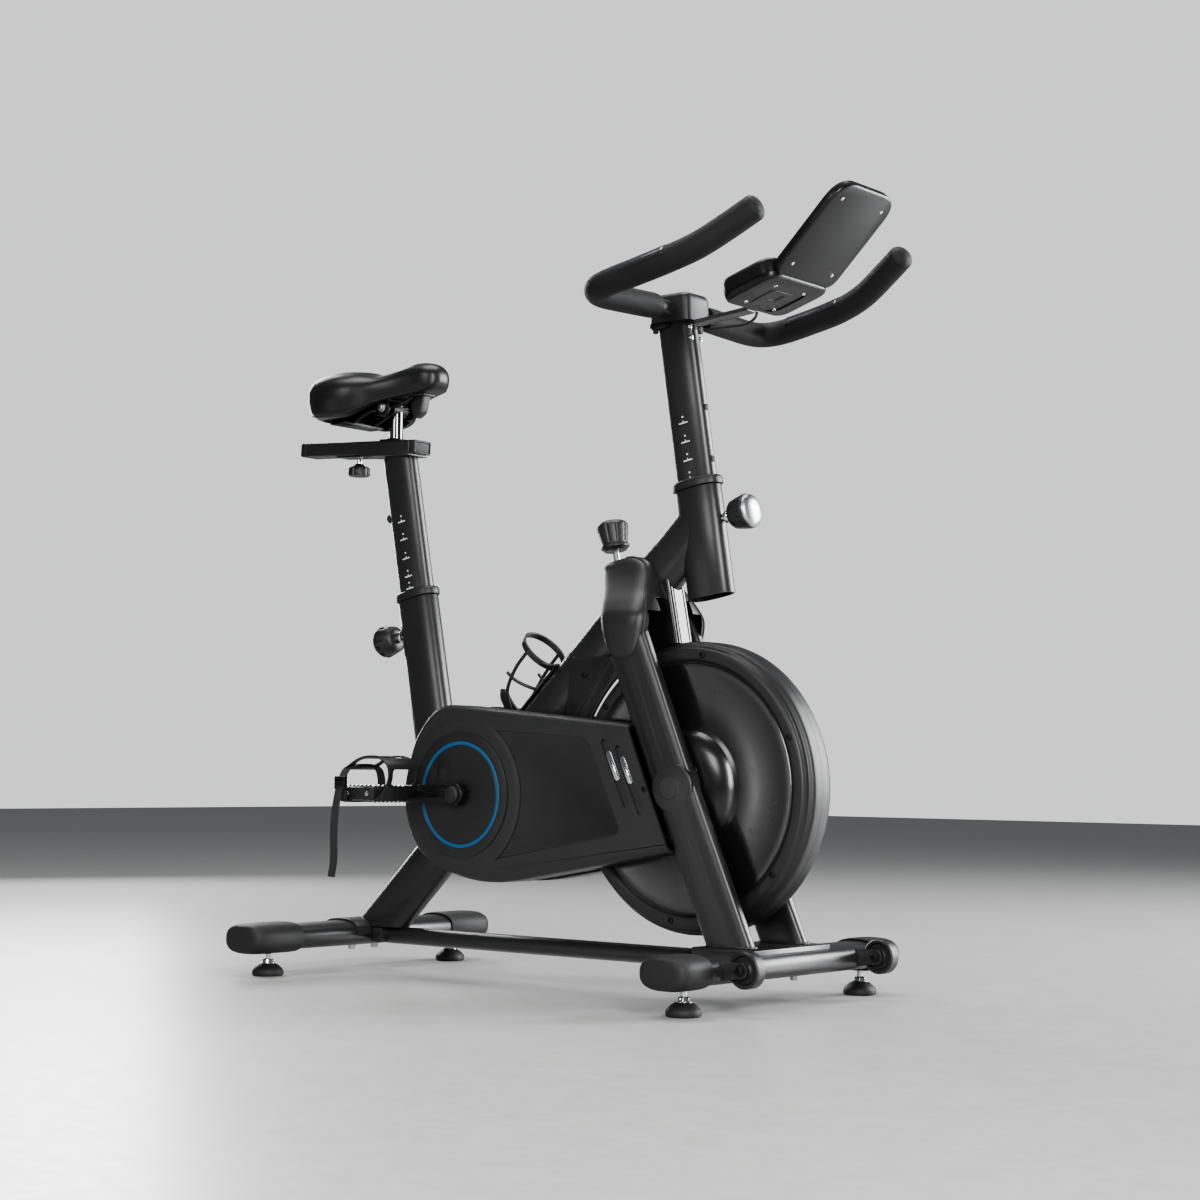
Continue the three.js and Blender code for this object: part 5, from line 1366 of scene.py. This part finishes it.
def console():
    start, lean = console_start(), CONSOLE["along"]
    size = (CONSOLE["long"], CONSOLE["wide"])
    levels = [(0, 7), (0.6, 4.5), (2.4, 2), (5.5, 0.6), (9.4, 0), (9.8, 1), (10.6, 1), (11, 0), (26, 0.3),
              (30, 1.4), (33, 3.8), (34.6, 7), (35, 11)]
    body = slab("console_housing", size, start, lean, 26, levels)

    def patch(name, a, b, half_a, half_b, low, high, radius):
        origin = slab_point(start, lean, a - half_a, b, 0)
        piece = slab(name, (2 * half_a, 2 * half_b), (origin[0], origin[2]), lean, radius,
                     [(low, 0), (high, 0)])
        piece.data.transform(Matrix.Translation((0, b / 1000, 0)))
        return piece

    arch = patch("arch", 46, 0, 36, 44, -2, 1.8, 20)
    arm_way = box("arm_way", (430, -19, 1000), (471, 19, 1018))
    well = rod("well", 7.6, slab_point(start, lean, 16, 0, 29), slab_point(start, lean, 16, 0, 40), 40)
    glass_way = patch("glass_way", 56, 0, 26, 47, 34, 38, 6)
    body = cut(body, arch, arm_way, well, glass_way)
    placed(body, "bar_post_unit", "holder_plastic", ["console"], 40)
    placed(patch("console_screen", 56, 0, 25.6, 46.6, 33.2, 34.5, 6), "bar_post_unit", "screen")
    middle = patch("console_mount", 40, 0, 24, 27, 0.8, 3.4, 8)
    middle = cut(middle, patch("diamond", 48, 0, 9, 9, -2, 2.2, 3),
                 box("arm_way", (430, -19, 1000), (471, 19, 1018)))
    placed(bevelled(middle, 0.8, 2), "bar_post_unit", "shell_plastic")
    for number, (a, b) in enumerate(((18, -36), (18, 36), (74, -36), (74, 36))):
        fastened(f"console_screw_{number}", slab_point(start, lean, a, b, 1.8), (lean[1], 0, -lean[0]),
                 "bar_post_unit", "chrome", 3.4, 2)
    key = lathe("console_key_cap", [(0, 31.6), (7, 31.6), (7, 35.6), (6.4, 36.3), (4, 36.6), (0, 36.7)],
                slab_point(start, lean, 16, 0, 0), (-lean[1], 0, lean[0]), 40)
    placed(key, "console_key", "rubber", ["console_button"])


def tablet_holder():
    foot, lean = TABLET["foot"], TABLET["along"]
    size = (TABLET["long"], TABLET["wide"])
    levels = [(-0.2, 3.6), (0.6, 1.4), (2.4, 0.2), (4, 0), (9, 0), (12.2, 0.3), (12.9, 1.2), (12.9, 2.6),
              (12.2, 3.4), (7.5, 3.9)]
    holder = slab("tablet_holder_plate", size, foot, lean, 24, levels, far_radius=38)
    (ax, az), corner = CONSOLE["along"], console_start()
    start = (corner[0] - ax + az, corner[1] - az - ax)
    around = slab("around", (CONSOLE["long"] + 2, CONSOLE["wide"] + 2), start, CONSOLE["along"], 30,
                  [(0, 0), (37, 0)])
    around = bevelled(around, 5, 3, 50)
    placed(largest(cut(holder, around)), "bar_post_unit", "holder_plastic", ["tablet_holder"], 40)
    for number, (a, b) in enumerate(((25, -50), (25, 50), (142, -50), (142, 50))):
        origin = slab_point(foot, lean, a, b, 0.2)
        fastened(f"tablet_screw_{number}", origin, (lean[1], 0, -lean[0]), "bar_post_unit", "chrome", 3,
                 1.8)


def console_lead():
    """The sensor lead, from the console's underside into the post, on the CAD part's route."""
    route = [(489, -12, 1006), (486, -14, 997), (470, -14, 990), (440, -13, 990), (412, -11, 991),
             (389, -9, 992)]
    path = smooth_path(route, 6)
    lead = hose("console_lead_wire", path, 2.2, 16)
    placed(lead, "bar_post_unit", "rubber", ["console_lead"])
    inlet = lathe("console_lead_grommet", [(0, 0), (6, 0), (6.6, 1), (6.6, 3), (4.6, 5), (0, 5)],
                  (380, -9, 992.2), (1, 0, 0), 32)
    placed(inlet, "bar_post_unit", "rubber")


# ---- crank, pedals and bottle cage ----

PEDAL = {"in": 110, "out": 188, "half": 36, "thick": 22}


def crank_arm(word, side):
    """side is -1 for the right arm, which points back, and 1 for the left arm, which points forward."""
    x, z, length = CRANK["x"], CRANK["z"], CRANK["length"]
    outline = arc((0, 0), 18, -72, 72) + arc((-length, 0), 13, 97, 262)
    outline = [(x - side * px, z + pz) for px, pz in outline]
    if side > 0:
        outline.reverse()
    levels = [(91, 1.6), (91.5, 0.6), (93, 0), (101, 0), (103, 0.8), (104, 2.6)]
    levels = [(side * y, d) for y, d in levels]
    arm = dished(f"crank_{word}_forging", outline, levels)
    end = x + side * length
    groove = flat_bar("groove", rounded([(-3.6, -3, 2), (3.6, -3, 2), (3.6, 3, 2), (-3.6, 3, 2)], 4),
                      (x + side * 30, z), (end - side * 26, z), side * 105)
    spindle = rod("spindle", 6, (end, side * 103, z), (end, side * (PEDAL["out"] - 3), z), 32)
    arm = fused(cut(arm, groove), spindle)
    placed(arm, "crankset", "black_steel", [f"crank_arm_{word}"], 40)
    cap = lathe(f"crank_cap_{word}", [(0, 0), (13, 0), (13.4, 1), (13.2, 5), (11, 7.4), (6, 8.6), (0, 9)],
                (x, side * 103, z), (0, side, 0), 48)
    placed(cap, "crankset", "rubber")
    boss = lathe(f"pedal_boss_{word}", [(0, 0), (8.6, 0), (8.6, 3), (7.4, 4.6), (0, 4.6)],
                 (end, side * 103.4, z), (0, side, 0), 6)
    placed(boss, "crankset", "steel")


def toothed_rail(name, x, z, side):
    """A pedal's side rail, with a row of teeth along its top and its bottom."""
    low, high = PEDAL["in"] + 3, PEDAL["out"] - 3
    teeth = 8
    pitch = (high - low) / teeth
    edge = [(low + pitch * (i / 2), 11.6 + (2.6 if i % 2 else 0)) for i in range(2 * teeth + 1)]
    outline = [(side * y, z + up) for y, up in edge] + [(side * y, z - up) for y, up in reversed(edge)]
    return wall(name, outline, x - 1.3, x + 1.3)


def pedal(word, side):
    x, z = CRANK["x"] + side * CRANK["length"], CRANK["z"]
    body_name = "pedal_" + word[0]
    low, high, half, thick = PEDAL["in"], PEDAL["out"], PEDAL["half"], PEDAL["thick"]
    outline = rounded([(x - half, z - thick / 2, 6), (x + half, z - thick / 2, 6),
                       (x + half, z + thick / 2, 6), (x - half, z + thick / 2, 6)])
    levels = [(low, 3.6), (low + 1, 1.4), (low + 4, 0), (high - 4, 0), (high - 1, 1.4), (high, 3.6)]
    body = dished(f"pedal_{word}_platform", outline, [(side * y, d) for y, d in levels])
    windows = []
    for middle in (x - 22, x + 22):
        ends = mirrored_span(side, low + 8, high - 8)
        windows.append(box("window", (middle - 9.5, ends[0], z - thick),
                           (middle + 9.5, ends[1], z + thick)))
    waist = []
    for s in (-1, 1):
        near, far = z + s * 8, z + s * 20
        waist.append(rounded([(x - 12, near, 3), (x + 12, near, 3), (x + 12, far, 3), (x - 12, far, 3)], 4))
    ends = mirrored_span(side, low + 12, high - 12)
    body = cut(body, *windows, *(plate("waist", w, *ends) for w in waist),
               rod("bore", 6.4, (x, side * (low - 1), z), (x, side * (high - 2), z), 32))
    placed(bevelled(body, 0.7, 2, 50), body_name, "shell_plastic", ["pedal_" + word])
    for number, rail_x in enumerate((x - half + 2.6, x + half - 2.6)):
        placed(toothed_rail(f"pedal_{word}_teeth_{number}", rail_x, z, side), body_name, "steel")
    for number, dx in enumerate((-22, 22)):
        pin_y = side * (low + 5)
        fastened(f"pedal_{word}_screw_{number}", (x + dx, side * (high - 0.6), z), (0, side, 0),
                 body_name, "chrome", 4, 2.2)
        fastened(f"pedal_{word}_rivet_{number}", (x + dx, pin_y, z + thick / 2 - 0.5), (0, 0, 1),
                 body_name, "chrome", 3, 1.8)
    toe_cage(word, x, z, side, body_name)
    strap(word, x, z, side, body_name)


def toe_cage(word, x, z, side, body_name):
    front = x + PEDAL["half"] + 2
    curve = [(front, z - 9), (front + 14, z + 2), (front + 27, z + 24), (front + 22, z + 46),
             (front - 4, z + 58), (front - 38, z + 55), (front - 72, z + 38)]
    middle = smooth_path([Vector((a, 0, b)) for a, b in curve], 6)
    above, below = [], []
    for i, point in enumerate(middle):
        run = (middle[min(i + 1, len(middle) - 1)] - middle[max(i - 1, 0)]).normalized()
        above.append((point.x - run.z * 1.4, point.z + run.x * 1.4))
        below.append((point.x + run.z * 1.4, point.z - run.x * 1.4))
    ends = mirrored_span(side, PEDAL["in"] + 6, PEDAL["out"] - 4)
    band = plate(f"toe_cage_{word}_band", above + below[::-1], *ends)
    inner = mirrored_span(side, PEDAL["in"] + 15, PEDAL["out"] - 13)
    spans = [(front + 2, z + 12, front + 40, z + 38), (front - 24, z + 40, front + 8, z + 80),
             (front - 61, z + 30, front - 35, z + 70)]
    windows = [bevelled(box("window", (x0, inner[0], z0), (x1, inner[1], z1)), 7, 4, 50)
               for x0, z0, x1, z1 in spans]
    band = cut(band, *windows)
    placed(bevelled(band, 0.8, 2, 50), body_name, "shell_plastic", ["toe_cage_" + word])
    for number, y in enumerate((PEDAL["in"] + 18, PEDAL["out"] - 16)):
        fastened(f"toe_cage_{word}_bolt_{number}", (front - 0.5, side * y, z - 5), (1, 0, -0.3),
                 body_name, "chrome", 4, 3)


def strap(word, x, z, side, body_name):
    """A webbing strap around the pedal and the cage, with a buckle outside and a tail that hangs."""
    at = x - 27
    loop = [(149, -13), (180, -13), (191, -9), (194.5, 6), (193, 24), (184, 38), (168, 44.5), (149, 46),
            (130, 44.5), (114, 38), (107.6, 24), (107, 6), (109, -9), (118, -13), (148, -13)]
    path = smooth_path([Vector((at, side * y, z + up)) for y, up in loop], 5)
    band = bevelled(ribbon(f"pedal_strap_{word}", path, 17, 1.6), 0.4, 1)
    placed(band, body_name, "webbing")
    route = [(at, 197, 16), (at - 1, 200.6, 2), (at - 3, 203.4, -20), (at - 6, 204, -48),
             (at - 9, 201, -76), (at - 10, 199.5, -104), (at - 11, 203, -131)]
    path = smooth_path([Vector((a, side * y, z + up)) for a, y, up in route], 5)
    tail = bevelled(ribbon(f"strap_tail_{word}", path, 16, 1.5), 0.4, 1)
    placed(tail, body_name, "webbing")
    ends = mirrored_span(side, 193.2, 200.4)
    buckle = box(f"strap_buckle_{word}", (at - 11.5, ends[0], z + 6), (at + 11.5, ends[1], z + 27), 1.4)
    slots = [box("slot", (at - 8.6, ends[0] - 2, z + low), (at + 8.6, ends[1] + 2, z + low + 3))
             for low in (9, 19)]
    placed(cut(buckle, *slots), body_name, "black_steel")


def bottle_cage():
    t = MAIN_ALONG
    foot = along(MAIN_LOW, t, 458)
    surface_up = TUBE[0] / 2 + 0.5
    axis_up = surface_up + 42

    def at(s, up, y=0.0):
        return Vector((foot[0] + t[0] * s - t[1] * up, y, foot[1] + t[1] * s + t[0] * up))

    def flat(s, up):
        point = at(s, up)
        return (point.x, point.z)

    corners = [(0, 0), (124, 0), (124, 4.4), (0, 4.4)]
    spine = bevelled(plate("spine", [flat(s, surface_up + up) for s, up in corners], -11, 11), 1.6, 3)
    lip_path = [at(2.5, surface_up + 1), at(1.5, surface_up + 14), at(2.5, surface_up + 34),
                at(6, surface_up + 50), at(13, surface_up + 57)]
    flat_section = oval(2, 2, 24, 4)
    lip = hose("lip", smooth_path(lip_path, 6), 1, section=[(a * 13, b * 2.6) for a, b in flat_section])
    rim = [at(112, axis_up + 37.8 * math.cos(a), 37.8 * math.sin(a))
           for a in (math.pi * i / 24 for i in range(48))]
    hoop = closed_hose("hoop", rim, [(a * 2.1, b * 5.2) for a, b in flat_section],
                       Vector((t[0], 0, t[1])))
    arms = []
    for side in (-1, 1):
        route = [at(3, surface_up + 6, side * 6), at(14, surface_up + 14, side * 20),
                 at(36, axis_up - 12, side * 33),
                 at(74, axis_up - 2, side * 37.8), at(112, axis_up, side * 38)]
        arms.append(hose("arm", smooth_path(route, 6), 2.9, 16))
        brace = [at(120, surface_up + 2, side * 6), at(117, surface_up + 6, side * 18),
                 at(114, axis_up - 28, side * 26)]
        arms.append(hose("brace", smooth_path(brace, 6), 2.6, 14))
    claw = [at(66, surface_up + 2, 0), at(64, surface_up + 10, 18), at(60, axis_up - 14, 34),
            at(58, axis_up + 6, 37.4)]
    for side in (-1, 1):
        arms.append(hose("claw", smooth_path([(p.x, side * p.y, p.z) for p in claw], 6), 2.7, 14))
    cage = fused(spine, lip, hoop, *arms)
    envelope = tube_way(MAIN_LOW, along(MAIN_HIGH, t, 40), 0.8)
    placed(largest(cut(cage, envelope)), "frame", "shell_plastic", ["bottle_cage"], 45)
    for number, s in enumerate((26, 96)):
        origin = at(s, surface_up + 4.2)
        fastened(f"bottle_cage_screw_{number}", origin, (-t[1], 0, t[0]), "frame", "steel", 4.6, 2.6)


# ---- brake ----


def brake_pieces():
    """The resistance knob, a fluted cone with a ring at its foot, on the chrome brake rod."""
    profile = [(0, -1.2), (14, -1.2), (18.6, 0), (22.5, 2.6), (24.6, 6), (24.8, 10), (20.6, 33),
               (20.6, 36), (22.4, 38), (22.4, 41), (19.6, 43.4), (17, 46), (7, 46), (0, 46)]
    knob = lathe("resistance_knob_grip", profile, in_plane(ROD_TOP), in_plane(ROD_DOWN), 96)
    u, v, w = axes_along(in_plane(ROD_DOWN))
    top = Vector(in_plane(ROD_TOP))
    for i in range(10):
        angle = 2 * math.pi * i / 10
        out = u * math.cos(angle) + v * math.sin(angle)
        knob = cut(knob, rod("flute", 4.4, top + out * 28 + w * 6, top + out * 23.6 + w * 34, 20))
    placed(knob, "brake_knob", "shell_plastic", ["resistance_knob"], 42)


# ---- small parts of the frame ----


def frame_fittings():
    outline = rounded([(150, 506, 6), (272, 504, 6), (264, 400, 6), (140, 405, 6)], 4)
    gusset = plate("guard_gusset", outline, -27, -22)
    ribs = [plate("rib", [(x, 402), (x + 5, 402), (x + 75, 500), (x + 70, 500)], -28.4, -26)
            for x in (150, 172)]
    main = tube_way(MAIN_LOW, MAIN_HIGH, 1)
    wheel_guard = wheel_way(1, 40)
    gusset = largest(cut(fused(gusset, *ribs), main, wheel_guard))
    placed(bevelled(gusset, 0.5, 2, 50), "frame", "shell_plastic")
    fastened("guard_gusset_screw", (178, -27, 478), (0, -1, 0), "frame", "black_steel", 5, 3)
    for number, (x, y) in enumerate(((520, -44), (520, 44), (-322, -26), (-322, 26))):
        bolted(f"stabilizer_nut_{number}", (x, y, 40), (0, 0, -1), "frame", "steel", 6.4, 7)
    for number, side in enumerate((-1, 1)):
        fastened(f"hub_screw_{number}", (407, side * 49.4, 333), (0, side, 0), "frame",
                 "black_steel", 5.4, 2)
    gasket_line()


def gasket_line():
    """The black seal that runs down the front corner of each side of the shroud."""
    for side, word in ((-1, "right"), (1, "left")):
        path = []
        for z, rear, front, half in smooth_rows(SHROUD):
            x = (rear + front) / 2 + (front - rear) / 2 * 0.86
            path.append(Vector((x, side * half * 0.86, z + shroud_tilt(z) * (x - SHROUD_PIVOT_X))))
        placed(hose("shroud_seal_" + word, path, 1.7, 10), "frame", "rubber")


def dress_cad_nodes():
    """The CAD nodes that stay in view get smooth shading and a finish."""
    slots = {row["node"]: row["material_slot"] for row in frame["record"]["subparts"]}
    for name, node in frame["nodes"].items():
        if node.hide_render:
            continue
        node.data.materials.clear()
        node.data.materials.append(MATERIALS[slots[name]])
        node.data.shade_smooth()
        node.data.set_sharp_from_angle(angle=math.radians(30))


camera()
studio()
base_pieces()
frame_pieces()
cover_pieces()
seat_pieces()
handlebar_post()
bar_pieces()
console()
tablet_holder()
console_lead()
for word, side in (("right", -1), ("left", 1)):
    crank_arm(word, side)
    pedal(word, side)
bottle_cage()
brake_pieces()
frame_fittings()
dress_cad_nodes()
